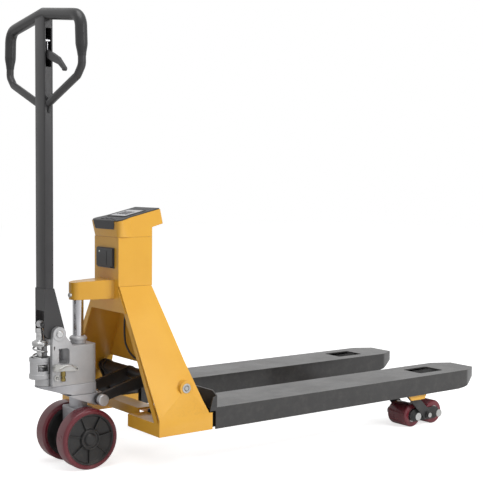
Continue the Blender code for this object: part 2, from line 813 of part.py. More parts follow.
def mast_column(lift):
    wall = COL_WALL
    tube = block(COL_X, (-COL_HALF_Y, COL_HALF_Y), (CREASE_Z + GAP, COL_TOP))
    bore = block((COL_X[0] + wall, COL_X[1] - wall), (-COL_HALF_Y + wall, COL_HALF_Y - wall), (0.40, 0.70))
    inset = SKIRT_T * 1.18 + 2 * GAP
    top_half = skirt_half(CREASE_Z, inset)
    low_half = skirt_half(APRON_Z, inset)
    apron = prism(
        ((-top_half, CREASE_Z), (-low_half, APRON_Z), (low_half, APRON_Z), (top_half, CREASE_Z)),
        "X",
        COL_X[0],
        COL_X[0] + wall,
    )
    rear_half = skirt_half(REAR_LOW_Z, inset)
    corners = []
    for x, half, z in ((COL_X[1], top_half, CREASE_Z), (REAR_LOW_X, rear_half, REAR_LOW_Z)):
        corners += [(x - dx, side * half, z) for dx in (0, wall) for _, side in SIDES]
    seam = (CREASE_Z - 0.003, CREASE_Z + 0.004)
    joins = [block((x, x + wall), (-top_half, top_half), seam) for x in (COL_X[0], COL_X[1] - wall)]
    window = block((COL_X[0] - 0.01, COL_X[0] + 0.01), (-PRINTER_HALF_Y + 0.003, PRINTER_HALF_Y - 0.003), (PRINTER_Z[0] + 0.003, PRINTER_Z[1] - 0.003))
    piece("mast_column", tube, "orange_paint", lift, cut=(bore, window), add=(apron, hull_of(corners), *joins))


def side_plate(side_name, side, lift):
    top = CREASE_Z
    outer = ((COL_HALF_Y, top), (FOOT_HALF_Y, FOOT_TOP), (FOOT_HALF_Y, FOOT_LOW))
    inner = (
        (FOOT_HALF_Y - SKIRT_T, FOOT_LOW),
        (FOOT_HALF_Y - SKIRT_T, FOOT_TOP + 0.002),
        (COL_HALF_Y - SKIRT_T * 1.18, top),
    )
    sheet = prism([(side * y, z) for y, z in outer + inner], "X", FRONT_X, FOOT_REAR_X)
    lip_low = FOOT_FACE_TOP - 0.01
    lip = prism(
        [
            (side * skirt_half(APRON_Z + 0.070, 0.002), APRON_Z + 0.070),
            (side * skirt_half(lip_low, 0.002), lip_low),
            (side * skirt_half(lip_low, LIP_W), lip_low),
            (side * skirt_half(APRON_Z - GAP, LIP_W), APRON_Z - GAP),
            (side * skirt_half(APRON_Z - GAP, 0.0058), APRON_Z - GAP),
            (side * skirt_half(APRON_Z + 0.070, 0.0058), APRON_Z + 0.070),
        ],
        "X",
        FRONT_X,
        FRONT_X + SKIRT_T,
    )
    in_y = FOOT_HALF_Y - FORK_W
    face = block((FRONT_X, FRONT_X + SKIRT_T), span(side, in_y, FOOT_HALF_Y - 0.002), (FOOT_LOW, FOOT_FACE_TOP))
    floor = block((FRONT_X + 0.002, 0.158), span(side, in_y, FOOT_HALF_Y - 0.002), (FOOT_FACE_TOP - SKIRT_T, FOOT_FACE_TOP))
    cheek = block((FRONT_X + 0.002, FOOT_REAR_X), span(side, in_y, in_y + SKIRT_T), (FOOT_LOW, FOOT_FACE_TOP - 0.001))
    flare_rear = (
        (0.206, top + 0.01),
        (0.2065, top),
        (0.222, 0.400),
        (0.236, 0.300),
        (0.257, 0.190),
        (0.264, FOOT_TOP),
        (FOOT_REAR_X, FOOT_TOP),
        (0.40, FOOT_TOP),
        (0.40, top + 0.01),
    )
    boss = rod((ROCK_X, 0, ROCK_Z), 0.021, "Y", *span(side, 0.2255, 0.2465))
    bore = rod((ROCK_X, 0, ROCK_Z), ROCK_R + RUN, "Y", *span(side, 0.20, 0.27))
    piece(
        f"side_plate_{side_name}",
        sheet,
        "orange_paint",
        lift,
        add=(lip, face, floor, cheek, boss),
        cut=(prism(flare_rear, "Y", *span(side, 0.01, 0.30)), bore),
    )


def cross_beam(lift):
    half = FOOT_HALF_Y - FORK_W - GAP
    x, z = BEAM_X, BEAM_Z
    wall = SKIRT_T
    outline = (
        (x[0], z[0]),
        (x[0] + wall, z[0]),
        (x[0] + wall, z[1] - wall),
        (x[1] - wall, z[1] - wall),
        (x[1] - wall, z[0]),
        (x[1], z[0]),
        (x[1], z[1]),
        (x[0], z[1]),
    )
    piece("cross_beam", prism(outline, "Y", -half, half), "orange_paint", lift)


def lift_arm(lift):
    root_x = COL_X[0] - GAP
    nose = arc((STEER_X, 0), ARM_NOSE_R, 110, 250, 10)
    plan = nose + [(root_x, -ARM_ROOT_HALF_Y), (root_x, ARM_ROOT_HALF_Y)]
    side_view = rounded(
        ((-0.03, ARM_Z[0]), (root_x + 0.01, ARM_Z[0]), (root_x + 0.01, ARM_Z[1] + 0.003), (STEER_X, ARM_Z[1]), (-0.03, ARM_Z[1] - 0.004)),
        (0.006, 0, 0, 0.03, 0.014),
        4,
    )
    piece(
        "lift_arm",
        prism(plan, "Z", ARM_Z[0], ARM_Z[1] + 0.004),
        "orange_paint",
        lift,
        keep=(prism(side_view, "Y", -0.06, 0.06),),
    )


def ram_rod(lift):
    piece("ram_rod", rod((STEER_X, 0, 0), RAM_R, "Z", RAM_LOW, ARM_Z[0] - GAP, 32), "chrome", lift)


# ---------------------------------------------------------------- scale head


def head_slope():
    return math.atan2(HEAD_REAR_Z - HEAD_FRONT_Z, HEAD_REAR_X - HEAD_FRONT_X)


def panel_point(along, up):
    """X and Z of a point on the sloping top: along from its front edge, up from the head's skin."""
    slope = head_slope()
    x = HEAD_FRONT_X + along * math.cos(slope) - up * math.sin(slope)
    return x, HEAD_FRONT_Z + along * math.sin(slope) + up * math.cos(slope)


def head_plan(inset, down=0.0, rear=HEAD_REAR_X + 0.02):
    """Plan outline of the head, wider at its front; down runs from 0 at the panel to 1 at the foot."""
    half = COL_HALF_Y - inset
    wide = HEAD_WIDE[0] + (HEAD_WIDE[1] - HEAD_WIDE[0]) * down - inset
    front = HEAD_FRONT_X + (HEAD_LOW_X - HEAD_FRONT_X) * down + inset
    return rounded(
        (
            (front, -wide),
            (HEAD_MERGE_X, -half),
            (rear - inset, -half),
            (rear - inset, half),
            (HEAD_MERGE_X, half),
            (front, wide),
        ),
        (0.014, 0.030, 0, 0, 0.030, 0.014),
        5,
    )


def lofted(rings):
    """A solid through closed outlines of equal length."""
    bm = bmesh.new()
    made = [[bm.verts.new(corner) for corner in ring] for ring in rings]
    bm.faces.new(list(reversed(made[0])))
    bm.faces.new(made[-1])
    count = len(made[0])
    for first, second in zip(made, made[1:]):
        for i in range(count):
            j = (i + 1) % count
            bm.faces.new((first[i], first[j], second[j], second[i]))
    return bm


def head_housing(lift):
    low = COL_TOP + GAP
    outline = (
        (COL_X[1], low),
        (0.060, low),
        (0.060, HEAD_FRONT_Z - (HEAD_FRONT_X - 0.060) * math.tan(head_slope())),
        (HEAD_REAR_X, HEAD_REAR_Z),
        (HEAD_REAR_X + 0.0095, 0.681),
        (COL_X[1], 0.671),
    )
    wall = HEAD_WALL
    cavity = (
        (COL_X[1] - wall, low - 0.01),
        (HEAD_LOW_X + 0.012, low - 0.01),
        (HEAD_FRONT_X + 0.012, HEAD_FRONT_Z - wall),
        (HEAD_REAR_X - wall, HEAD_REAR_Z - 1.3 * wall),
        (HEAD_REAR_X + 0.009 - wall, 0.681 + wall),
        (COL_X[1] - wall, 0.671 + wall),
    )
    inner = COL_HALF_Y - wall - 0.008
    levels = ((low - 0.001, 1.0), (HEAD_FRONT_Z, 0.0), (0.80, 0.0))
    shell = lofted([[(x, y, z) for x, y in head_plan(0, down)] for z, down in levels])
    piece(
        "head_housing",
        prism(outline, "Y", -0.12, 0.12),
        "orange_paint",
        lift,
        keep=(shell,),
        cut=(prism(cavity, "Y", -inner, inner),),
    )


KEY_AT = ((0.018, -0.030), (0.018, 0.0), (0.018, 0.030))
KEY_HALF = (0.0055, 0.0085)
WINDOW_ALONG = (0.044, 0.112)
WINDOW_HALF_Y = 0.046


def slab(along, half_y, up, shift_y=0.0):
    """A flat block lying along the sloping top."""
    ends = [panel_point(a, u) for a, u in ((along[0], up[0]), (along[1], up[0]), (along[1], up[1]), (along[0], up[1]))]
    return prism(ends, "Y", shift_y - half_y, shift_y + half_y)


def display_panel(lift):
    slope = head_slope()
    front = HEAD_FRONT_X
    rings = []
    for up in (GAP, GAP + PANEL_T):
        base = HEAD_FRONT_Z + up / math.cos(slope)
        rings.append([(x, y, base + (x - front) * math.tan(slope)) for x, y in head_plan(0.0015, 0, HEAD_REAR_X)])
    brow = prism(
        ((front - 0.0022, HEAD_FRONT_Z + 0.0022), (front + 0.0014, 0.6655), (front + 0.0034 - GAP, 0.6655), (front - GAP, HEAD_FRONT_Z + GAP), (front + 0.004, HEAD_FRONT_Z + 0.003)),
        "Y",
        -0.058,
        0.058,
    )
    notch = ((0.0495, 0.660), (0.0590, 0.6830), (0.070, 0.6830), (0.070, 0.660))
    corners = [prism([(side * y, z) for y, z in notch], "X", front - 0.01, front + 0.0045) for _, side in SIDES]
    holes = [slab((a - KEY_HALF[0] - RUN, a + KEY_HALF[0] + RUN), KEY_HALF[1] + RUN, (-0.01, 0.01), y) for a, y in KEY_AT]
    piece("display_panel", lofted(rings), "panel_grey", lift, add=(brow,), cut=(*corners, *holes))


def display_window(lift):
    low = GAP + PANEL_T + GAP
    piece("display_window", slab(WINDOW_ALONG, WINDOW_HALF_Y, (low, low + 0.0012)), "display_glass", lift)


def key(name, at, joint):
    along, y = at
    body = slab((along - KEY_HALF[0], along + KEY_HALF[0]), KEY_HALF[1], (GAP + 0.0014, GAP + PANEL_T + 0.0014), y)
    piece(name, body, "key_grey", joint)


def printer_case(lift):
    face = COL_X[0] - GAP
    half = PRINTER_HALF_Y
    low, high = PRINTER_Z
    bezel = block((face - 0.003, face), (-half, half), (low, high))
    body = block((face - 0.001, face + 0.045), (-half + 0.0035, half - 0.0035), (low + 0.0035, high - 0.0035))
    bay = block((face - 0.01, face + 0.042), (-half + 0.0065, half - 0.0065), (low + 0.0065, high - 0.0065))
    piece("printer_case", bezel, "panel_grey", lift, add=(body,), cut=(bay,))


def printer_door(joint):
    face = COL_X[0] - GAP - 0.003 - GAP
    low, high = PRINTER_Z
    half = PRINTER_HALF_Y - 0.002
    plate = prism(
        rounded(
            ((face - 0.004, low + 0.0045), (face, low + 0.0045), (face, high - 0.002), (face - 0.004, high - 0.002)),
            (0.0015, 0, 0, 0.0015),
            2,
        ),
        "Y",
        -half,
        half,
    )
    knuckle = rod((face - 0.0022, 0, low + 0.003), 0.0022, "Y", -half + 0.01, half - 0.01, 12)
    bridge = block((face - 0.0032, face - 0.0012), (-half + 0.01, half - 0.01), (low + 0.003, low + 0.006))
    piece("printer_door", plate, "panel_grey", joint, add=(knuckle, bridge))


def battery_cover(lift):
    face = COL_X[1] + GAP
    outline = rounded(((-0.046, 0.528), (0.046, 0.528), (0.046, 0.628), (-0.046, 0.628)), (0.006,) * 4, 3)
    piece("battery_cover", prism(outline, "X", face, face + 0.004), "black_paint", lift)


# ---------------------------------------------------------------- forks


def fork_plan(side, inset, tip_inset):
    half = FORK_W / 2 - inset
    tip_half = TIP_HALF_W - inset * 0.8
    y = side * FORK_Y
    tip = TIP_X - tip_inset
    return rounded(
        (
            (HEEL_X, y - half),
            (TAPER_X - inset * 0.4, y - half),
            (tip, y - tip_half),
            (tip, y + tip_half),
            (TAPER_X - inset * 0.4, y + half),
            (HEEL_X, y + half),
        ),
        (0, 0.03, 0.010, 0.010, 0.03, 0),
        3,
    )


def fork_cover(side_name, side, lift):
    y = side * FORK_Y
    half = FORK_W / 2
    wall = COVER_T
    skin = prism(fork_plan(side, 0, 0), "Z", FORK_LOW, FORK_TOP)
    hollow = prism(fork_plan(side, wall, wall), "Z", FORK_LOW - 0.02, FORK_TOP - wall)
    mouth = block((HEEL_X - 0.01, HEEL_X + 0.02), (y - half + wall, y + half - wall), (FORK_LOW - 0.02, FORK_TOP - wall))
    nose = [(1.290, FORK_LOW - 0.02), (1.290, FORK_LOW)]
    nose += [(1.290 + 0.111 * t, FORK_LOW + 0.029 * t**1.6) for t in (0.25, 0.5, 0.75, 1.0)]
    nose += [(1.45, 0.150), (1.45, FORK_LOW - 0.02)]
    under_nose = prism(nose, "Y", y - half - 0.01, y + half + 0.01)
    lip = [(TIP_X - 0.010, FORK_TOP + 0.003), (TIP_X + 0.004, FORK_TOP + 0.003), (TIP_X + 0.004, FORK_TOP - 0.010)]
    brow = prism(lip, "Y", y - half, y + half)
    cut_x, cut_half = CUT_X, CUT_W / 2
    port = rounded(
        ((cut_x[0], y - cut_half), (cut_x[1], y - cut_half), (cut_x[1], y + cut_half), (cut_x[0], y + cut_half)),
        (0.006,) * 4,
        3,
    )
    stop_out = (y + side * half, STOP_TOP - 0.012)
    stop = prism(
        (
            (y - side * half, FORK_TOP - 0.003),
            (y - side * half, STOP_TOP - 0.012),
            (y - side * (half - 0.018), STOP_TOP),
            (y + side * (half - 0.018), STOP_TOP),
            stop_out,
            (y + side * half, FORK_TOP - 0.003),
        ),
        "X",
        HEEL_X,
        HEEL_X + wall,
    )
    gussets = []
    for edge in (-1, 1):
        outer = y + edge * half
        low_y, high_y = sorted((outer, outer - edge * wall))
        outline = (
            (HEEL_X + 0.001, FORK_TOP - 0.009),
            (HEEL_X + 0.001, STOP_TOP - 0.0125),
            (HEEL_X - 0.010, STOP_TOP - 0.018),
            (HEEL_X - 0.020, FORK_TOP - 0.009),
        )
        gussets.append(prism(outline, "Y", low_y, high_y))
    piece(
        f"fork_cover_{side_name}",
        skin,
        "black_paint",
        lift,
        add=(stop, *gussets),
        cut=(hollow, mouth, under_nose, brow, prism(port, "Z", FORK_TOP - 0.02, FORK_TOP + 0.02)),
    )


def fork_beam(side_name, side, lift):
    y = side * FORK_Y
    outline = (
        (RAIL_X[0], RAIL_Z[0]),
        (TAB_X[0], RAIL_Z[0]),
        (TAB_X[0] + 0.018, TAB_LOW),
        (TAB_X[1] - 0.012, TAB_LOW),
        (TAB_X[1], RAIL_Z[0]),
        (RAIL_X[1], RAIL_Z[0]),
        (RAIL_X[1], RAIL_Z[1]),
        (RAIL_X[0], RAIL_Z[1]),
    )
    rails = []
    for edge in (1, -1):
        low_y, high_y = sorted((y + edge * RAIL_Y[0], y + edge * RAIL_Y[1]))
        rails.append(prism(outline, "Y", low_y, high_y))
    across = (y - RAIL_Y[0] - 0.001, y + RAIL_Y[0] + 0.001)
    seat_z = (RAIL_Z[0] + 0.0005, RAIL_Z[0] + 0.005)
    seats = [block((x - 0.012, x + CELL_SIZE[0] + 0.012), across, seat_z) for x in CELL_AT_X]
    half = FORK_W / 2 - SKIRT_T - GAP
    seats.append(block((0.168, 0.258), (y - half, y + half), seat_z))
    tie = block((RAIL_X[1] - 0.0135, RAIL_X[1] - 0.0015), across, (RAIL_Z[0] + 0.0005, RAIL_Z[0] + 0.012))
    bore = rod((SWING_X, 0, SWING_Z), SWING_PIN_R + RUN, "Y", *span(side, 0.08, 0.30))
    piece(f"fork_beam_{side_name}", rails[0], "orange_paint", lift, add=(*seats, tie, rails[1]), cut=(bore,))


def load_cell(name, x, side, lift):
    low = RAIL_Z[0] + 0.005 + GAP
    high = FORK_TOP - COVER_T - GAP
    y = side * (FORK_Y + 0.042)
    half = CELL_SIZE[1] / 2
    middle = (low + high) / 2
    body = block((x, x + CELL_SIZE[0]), (y - half, y + half), (low + 0.006, high - 0.006))
    foot = block((x, x + 0.036), (y - half, y + half), (low, middle))
    head = block((x + CELL_SIZE[0] - 0.036, x + CELL_SIZE[0]), (y - half, y + half), (middle, high))
    waist = rod((x + CELL_SIZE[0] / 2, 0, middle), 0.011, "Y", y - half - 0.01, y + half + 0.01, 16)
    piece(name, body, "zinc", lift, add=(foot, head), cut=(waist,))


def load_cell_cable(lift):
    """Lead from the head down inside the skirt to the right-hand fork, held all the way."""
    route = (
        (0.150, -0.050, 0.560),
        (0.144, -0.048, 0.500),
        (0.136, -0.044, 0.440),
        (0.132, -0.043, 0.385),
        (0.134, -0.048, 0.335),
        (0.148, -0.070, 0.300),
        (0.172, -0.100, 0.285),
        (0.204, -0.128, 0.280),
        (0.232, -0.146, 0.250),
        (0.246, -0.156, 0.205),
        (0.262, -0.160, 0.165),
        (0.285, -0.160, 0.143),
        (0.320, -0.160, 0.136),
    )
    guides = [Vector(p) for p in route]
    fine = []
    for i in range(len(guides) - 1):
        a, b, c, d = (guides[min(max(i + k, 0), len(guides) - 1)] for k in (-1, 0, 1, 2))
        for t in (0.0, 0.25, 0.5, 0.75):
            fine.append(0.5 * (2 * b + (c - a) * t + (2 * a - 5 * b + 4 * c - d) * t**2 + (3 * b - a - 3 * c + d) * t**3))
    fine.append(guides[-1])
    curve = bpy.data.curves.new("load_cell_cable", "CURVE")
    curve.dimensions = "3D"
    curve.bevel_depth = 0.003
    curve.bevel_resolution = 2
    curve.use_fill_caps = True
    spline = curve.splines.new("POLY")
    spline.points.add(len(fine) - 1)
    for point, place in zip(spline.points, fine):
        point.co = (*place, 1)
    curve.materials.append(material("cable_black"))
    made = bpy.data.objects.new("load_cell_cable", curve)
    bpy.context.scene.collection.objects.link(made)
    made.parent = lift
    made.matrix_parent_inverse = lift.matrix_world.inverted()


# ---------------------------------------------------------------- linkage


def crank_pin_at():
    angle = math.radians(LOWER_ARM_DEG)
    return ROCK_X + LOWER_ARM * math.sin(angle), ROCK_Z - LOWER_ARM * math.cos(angle)


def lever_pin_at():
    angle = math.radians(LEVER_DEG)
    return SWING_X + LEVER_R * math.sin(angle), SWING_Z + LEVER_R * math.cos(angle)


def rocker(joint):
    half = ((0, 0.2475), (ROCK_R, 0.2475), (ROCK_R, 0.215), (0.017, 0.215))
    shaft = turned(half + tuple((r, -y) for r, y in reversed(half)), (ROCK_X, 0, ROCK_Z), "Y", 20)
    shapes = []
    cuts = []
    reach = Vector((ROCK_X - PIN_X, ROCK_Z - PIN_Z))
    way = reach.normalized()
    across = Vector((-way.y, way.x))
    lean = math.degrees(math.atan2(way.y, way.x))
    under = ((0.006, -0.0155), (0.018, -0.0126), (0.026, -0.0095), (0.045, -0.0095), (0.100, -0.0125))
    front = arc((PIN_X, PIN_Z), EYE_R, lean + 90, lean + 275, 9)
    front += [tuple(Vector((PIN_X, PIN_Z)) + way * u + across * v) for u, v in under]
    front += arc((ROCK_X, ROCK_Z), 0.0195, lean - 88, lean + 90, 9)
    slot_ends = [tuple(Vector((PIN_X, PIN_Z)) + way * u) for u in (-0.0036, 0.0058)]
    slot = strap(*slot_ends, PIN_R + EYE_PLAY, PIN_R + EYE_PLAY, 5)
    crank = strap((ROCK_X, ROCK_Z), crank_pin_at(), 0.0205, 0.011, 5)
    x, z = crank_pin_at()
    for _, side in SIDES:
        shapes.append(prism(front, "Y", *span(side, *ROCK_ARM_Y)))
        cuts.append(prism(slot, "Y", *span(side, ROCK_ARM_Y[0] - 0.005, ROCK_ARM_Y[1] + 0.005)))
        for low, high in (LOWER_ARM_Y, (-LOWER_ARM_Y[1], -LOWER_ARM_Y[0])):
            shapes.append(prism(crank, "Y", *span(side, FORK_Y + low, FORK_Y + high)))
        reach = LOWER_ARM_Y[1] - 0.001
        shapes.append(rod((x, 0, z), CRANK_PIN_R, "Y", *span(side, FORK_Y - reach, FORK_Y + reach), steps=12))
    piece("rocker", shaft, "dark_steel", joint, add=shapes, cut=cuts)


def push_rod(side_name, side, joint):
    front_x, front_z = crank_pin_at()
    rear_x, rear_z = lever_pin_at()
    jaw = CRANK_PIN_R + 0.0025
    notch = LEVER_PIN_R + 0.0018
    hook = rear_z - LEVER_PIN_R - 0.0024
    low, high = PUSH_Z - PUSH_HALF_H, PUSH_Z + PUSH_HALF_H
    outline = (
        (front_x - 0.012, front_z + jaw),
        (front_x + jaw, front_z + jaw),
        (front_x + jaw, front_z - jaw),
        (front_x - 0.012, front_z - jaw),
        (front_x - 0.012, front_z - jaw - 0.006),
        (0.246, low),
        (rear_x - 0.012, low),
        (rear_x - 0.008, low - 0.003),
        (rear_x + 0.008, low - 0.003),
        (rear_x + 0.008, hook),
        (rear_x - notch, hook),
        (rear_x - notch, high),
        (0.268, high),
        (0.250, front_z + jaw + 0.005),
        (front_x - 0.012, front_z + jaw + 0.005),
    )
    y = side * FORK_Y
    piece(f"push_rod_{side_name}", prism(outline, "Y", y - PUSH_HALF_Y, y + PUSH_HALF_Y), "dark_steel", joint)


def roller_frame(side_name, side, joint):
    y = side * FORK_Y
    swing, bogie = (SWING_X, SWING_Z), (BOGIE_X, ROLLER_R)
    pin_end = RAIL_Y[1] - 0.0005
    sleeve_end = SWING_ARM_Y[1] - 0.001
    half = ((0, pin_end), (SWING_PIN_R, pin_end), (SWING_PIN_R, sleeve_end), (0.0125, sleeve_end))
    profile = half + tuple((r, -along) for r, along in reversed(half))
    pivot = turned(profile, (SWING_X, y, SWING_Z), "Y", 16)
    shapes = []
    x, z = lever_pin_at()
    for edge in (1, -1):
        low_y, high_y = sorted((y + edge * SWING_ARM_Y[0], y + edge * SWING_ARM_Y[1]))
        shapes.append(prism(strap(swing, bogie, 0.0150, 0.0165, 5), "Y", low_y, high_y))
        low_y, high_y = sorted((y + edge * (PUSH_HALF_Y + 0.0015), y + edge * (PUSH_HALF_Y + 0.0065)))
        shapes.append(prism(strap(swing, (x, z), 0.0135, 0.0055, 4), "Y", low_y, high_y))
    shapes.append(rod((x, 0, z), LEVER_PIN_R, "Y", y - PUSH_HALF_Y - 0.004, y + PUSH_HALF_Y + 0.004, 12))
    bore = rod((BOGIE_X, 0, ROLLER_R), ROLLER_AXLE_R + RUN, "Y", y - 0.07, y + 0.07, 16)
    piece(f"roller_frame_{side_name}", pivot, "dark_steel", joint, add=shapes, cut=(bore,))


def bogie(side_name, side, joint):
    y = side * FORK_Y
    link = strap((ROLLER_X, ROLLER_R), (ROLLER_X + ROLLER_STEP, ROLLER_R), LINK_HALF_H, LINK_HALF_H, 6)
    plates = []
    for edge in (1, -1):
        low_y, high_y = sorted((y + edge * LINK_Y[0], y + edge * LINK_Y[1]))
        plates.append(prism(link, "Y", low_y, high_y))
    inner = LINK_Y[0] + 0.002
    axles = [
        rod((x, 0, ROLLER_R), ROLLER_AXLE_R, "Y", y - inner, y + inner, 16)
        for x in (ROLLER_X, ROLLER_X + ROLLER_STEP)
    ]
    start, end, head_r = BOGIE_BOLT
    centre_bar = rod((BOGIE_X, 0, ROLLER_R), ROLLER_AXLE_R, "Y", y - start - 0.003, y + start + 0.003, 16)
    heads = []
    for edge in (1, -1):
        low_y, high_y = sorted((y + edge * (start + GAP), y + edge * end))
        heads.append(rod((BOGIE_X, 0, ROLLER_R), head_r, "Y", low_y, high_y, 16))
    piece(f"bogie_{side_name}", plates[0], "zinc", joint, add=(centre_bar, plates[1], *axles, *heads))


def load_roller(name, x, side, joint):
    bore = ROLLER_AXLE_R + RUN
    half = ROLLER_HALF_W
    profile = rounded(
        ((bore, -half), (ROLLER_R, -half), (ROLLER_R, half), (bore, half)),
        (0, 0.007, 0.007, 0),
        2,
    )
    piece(name, turned(profile, (x, side * FORK_Y, ROLLER_R), "Y", 28), "maroon_tyre", joint)


# ---------------------------------------------------------------- assembly


def build_pump(steer):
    pump_base(steer)
    pump_casting(steer)
    pump_cylinder(steer)
    gland_nut(steer)
    steering_stem(steer)
    wheel_axle(steer)
    handle_pin(steer)
    pump_spring(steer)
    for side_name, side in SIDES:
        spin = axis_point(f"wheel_axis_{side_name}", (0, side * WHEEL_Y, WHEEL_R), steer)
        steering_wheel(side_name, side, spin)
    pump_plunger(axis_point("plunger_axis", (CYL_X, 0, CAP_LOW), steer))
    release_lever(axis_point("valve_axis", (VALVE_X, -EAR_OUT_Y, VALVE_Z), steer))


def build_handle(steer):
    tilt = axis_point("handle_axis", (HANDLE_PIVOT_X, 0, HANDLE_PIVOT_Z), steer)
    handle_bracket(tilt)
    handle_shaft(tilt)
    grip_bow(tilt)
    for side_name, side in SIDES:
        loop_tube(side_name, side, tilt)
    pressing_roller(axis_point("press_axis", (PRESS_X, 0, PRESS_Z), tilt))
    control_lever(axis_point("control_axis", (SHAFT_X, LEVER_PIVOT_Y, LEVER_PIVOT_Z), tilt))
    control_rod(axis_point("control_rod_axis", (SHAFT_X, ROD_Y, LEVER_PIVOT_Z), tilt))


def build_mast(lift):
    mast_column(lift)
    for side_name, side in SIDES:
        side_plate(side_name, side, lift)
    cross_beam(lift)
    lift_arm(lift)
    ram_rod(lift)
    head_housing(lift)
    display_panel(lift)
    display_window(lift)
    for name, at in zip(("key_left", "key_middle", "key_right"), reversed(KEY_AT)):
        x, z = panel_point(at[0], GAP + PANEL_T)
        key(name, at, axis_point(f"{name}_axis", (x, at[1], z), lift))
    printer_case(lift)
    hinge_x = COL_X[0] - GAP - 0.003 - GAP - 0.0022
    printer_door(axis_point("printer_door_axis", (hinge_x, 0, PRINTER_Z[0] + 0.003), lift))
    battery_cover(lift)
    load_cell_cable(lift)


def build_forks(lift):
    rock = axis_point("rocker_axis", (ROCK_X, 0, ROCK_Z), lift)
    rocker(rock)
    for side_name, side in SIDES:
        fork_beam(side_name, side, lift)
        fork_cover(side_name, side, lift)
        for place, x in zip(("heel", "tip"), CELL_AT_X):
            load_cell(f"load_cell_{place}_{side_name}", x, side, lift)
        y = side * FORK_Y
        push_rod(side_name, side, axis_point(f"push_axis_{side_name}", (ROCK_X, y, PUSH_Z), lift))
        swing = axis_point(f"swing_axis_{side_name}", (SWING_X, y, SWING_Z), lift)
        roller_frame(side_name, side, swing)
        level = axis_point(f"bogie_axis_{side_name}", (BOGIE_X, y, ROLLER_R), swing)
        bogie(side_name, side, level)
        for place, x in (("front", ROLLER_X), ("rear", ROLLER_X + ROLLER_STEP)):
            spin = axis_point(f"roller_axis_{place}_{side_name}", (x, y, ROLLER_R), level)
            load_roller(f"load_roller_{place}_{side_name}", x, side, spin)


def main():
    clear_scene()
    thrust_plate()
    thrust_pin()
    thrust_bearing()
    steer = axis_point("steer_axis", (STEER_X, 0, WHEEL_R))
    build_pump(steer)
    build_handle(steer)
    lift = axis_point("lift_axis", (STEER_X, 0, ARM_Z[0]))
    build_mast(lift)
    build_forks(lift)


main()
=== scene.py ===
"""Pallet scale: finishes, fittings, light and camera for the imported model."""

import json
import math

import bmesh
import bpy
from mathutils import Matrix, Vector


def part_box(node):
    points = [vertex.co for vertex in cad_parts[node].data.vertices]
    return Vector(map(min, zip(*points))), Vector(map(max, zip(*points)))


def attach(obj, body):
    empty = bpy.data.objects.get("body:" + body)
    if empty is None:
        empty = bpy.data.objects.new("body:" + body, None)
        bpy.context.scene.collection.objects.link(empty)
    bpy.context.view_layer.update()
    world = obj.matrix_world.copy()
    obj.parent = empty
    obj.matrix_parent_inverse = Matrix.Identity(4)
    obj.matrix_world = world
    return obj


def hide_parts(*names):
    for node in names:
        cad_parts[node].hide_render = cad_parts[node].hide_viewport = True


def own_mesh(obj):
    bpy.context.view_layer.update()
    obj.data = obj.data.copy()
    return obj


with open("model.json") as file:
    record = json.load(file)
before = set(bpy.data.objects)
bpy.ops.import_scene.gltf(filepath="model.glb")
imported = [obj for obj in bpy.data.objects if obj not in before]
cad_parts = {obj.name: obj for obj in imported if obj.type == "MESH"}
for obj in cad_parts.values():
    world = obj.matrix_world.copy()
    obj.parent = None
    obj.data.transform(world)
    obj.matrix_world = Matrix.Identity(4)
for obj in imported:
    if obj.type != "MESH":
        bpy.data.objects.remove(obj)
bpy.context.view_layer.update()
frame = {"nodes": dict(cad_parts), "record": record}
NODES = frame["nodes"]
BODY_OF = {n: b for b, names in frame["record"]["behaviour"]["bodies"].items() for n in names}
SIDES = (("left", 1), ("right", -1))


# ---------------------------------------------------------------- shader building blocks


def put(tree, kind, settings=None, **inputs):
    """A node with its settings, and its inputs either linked or set. Input names use _ for spaces."""
    made = tree.nodes.new(kind)
    for key, value in (settings or {}).items():
        setattr(made, key, value)
    for key, value in inputs.items():
        socket = made.inputs[int(key[1:])] if key[0] == "i" and key[1:].isdigit() else made.inputs[key.replace("_", " ")]
        if isinstance(value, bpy.types.NodeSocket):
            tree.links.new(value, socket)
        else:
            socket.default_value = value
    return made


def new_group(name, inputs, outputs):
    tree = bpy.data.node_groups.new(name, "ShaderNodeTree")
    for title, kind, value in inputs:
        socket = tree.interface.new_socket(title, in_out="INPUT", socket_type=kind)
        socket.default_value = value
    for title, kind in outputs:
        tree.interface.new_socket(title, in_out="OUTPUT", socket_type=kind)
    start = tree.nodes.new("NodeGroupInput")
    end = tree.nodes.new("NodeGroupOutput")
    return tree, start, end


def math_node(tree, operation, a, b=0.0, clamp=False):
    return put(tree, "ShaderNodeMath", {"operation": operation, "use_clamp": clamp}, i0=a, i1=b).outputs[0]


def ramp(tree, value, low, high, out_low=0.0, out_high=1.0):
    """A smooth step of a value from low to high."""
    return put(
        tree,
        "ShaderNodeMapRange",
        {"interpolation_type": "SMOOTHSTEP"},
        Value=value,
        From_Min=low,
        From_Max=high,
        To_Min=out_low,
        To_Max=out_high,
    ).outputs[0]


def mixed(tree, factor, a, b):
    return put(tree, "ShaderNodeMix", {"data_type": "RGBA"}, i0=factor, i6=a, i7=b).outputs[2]


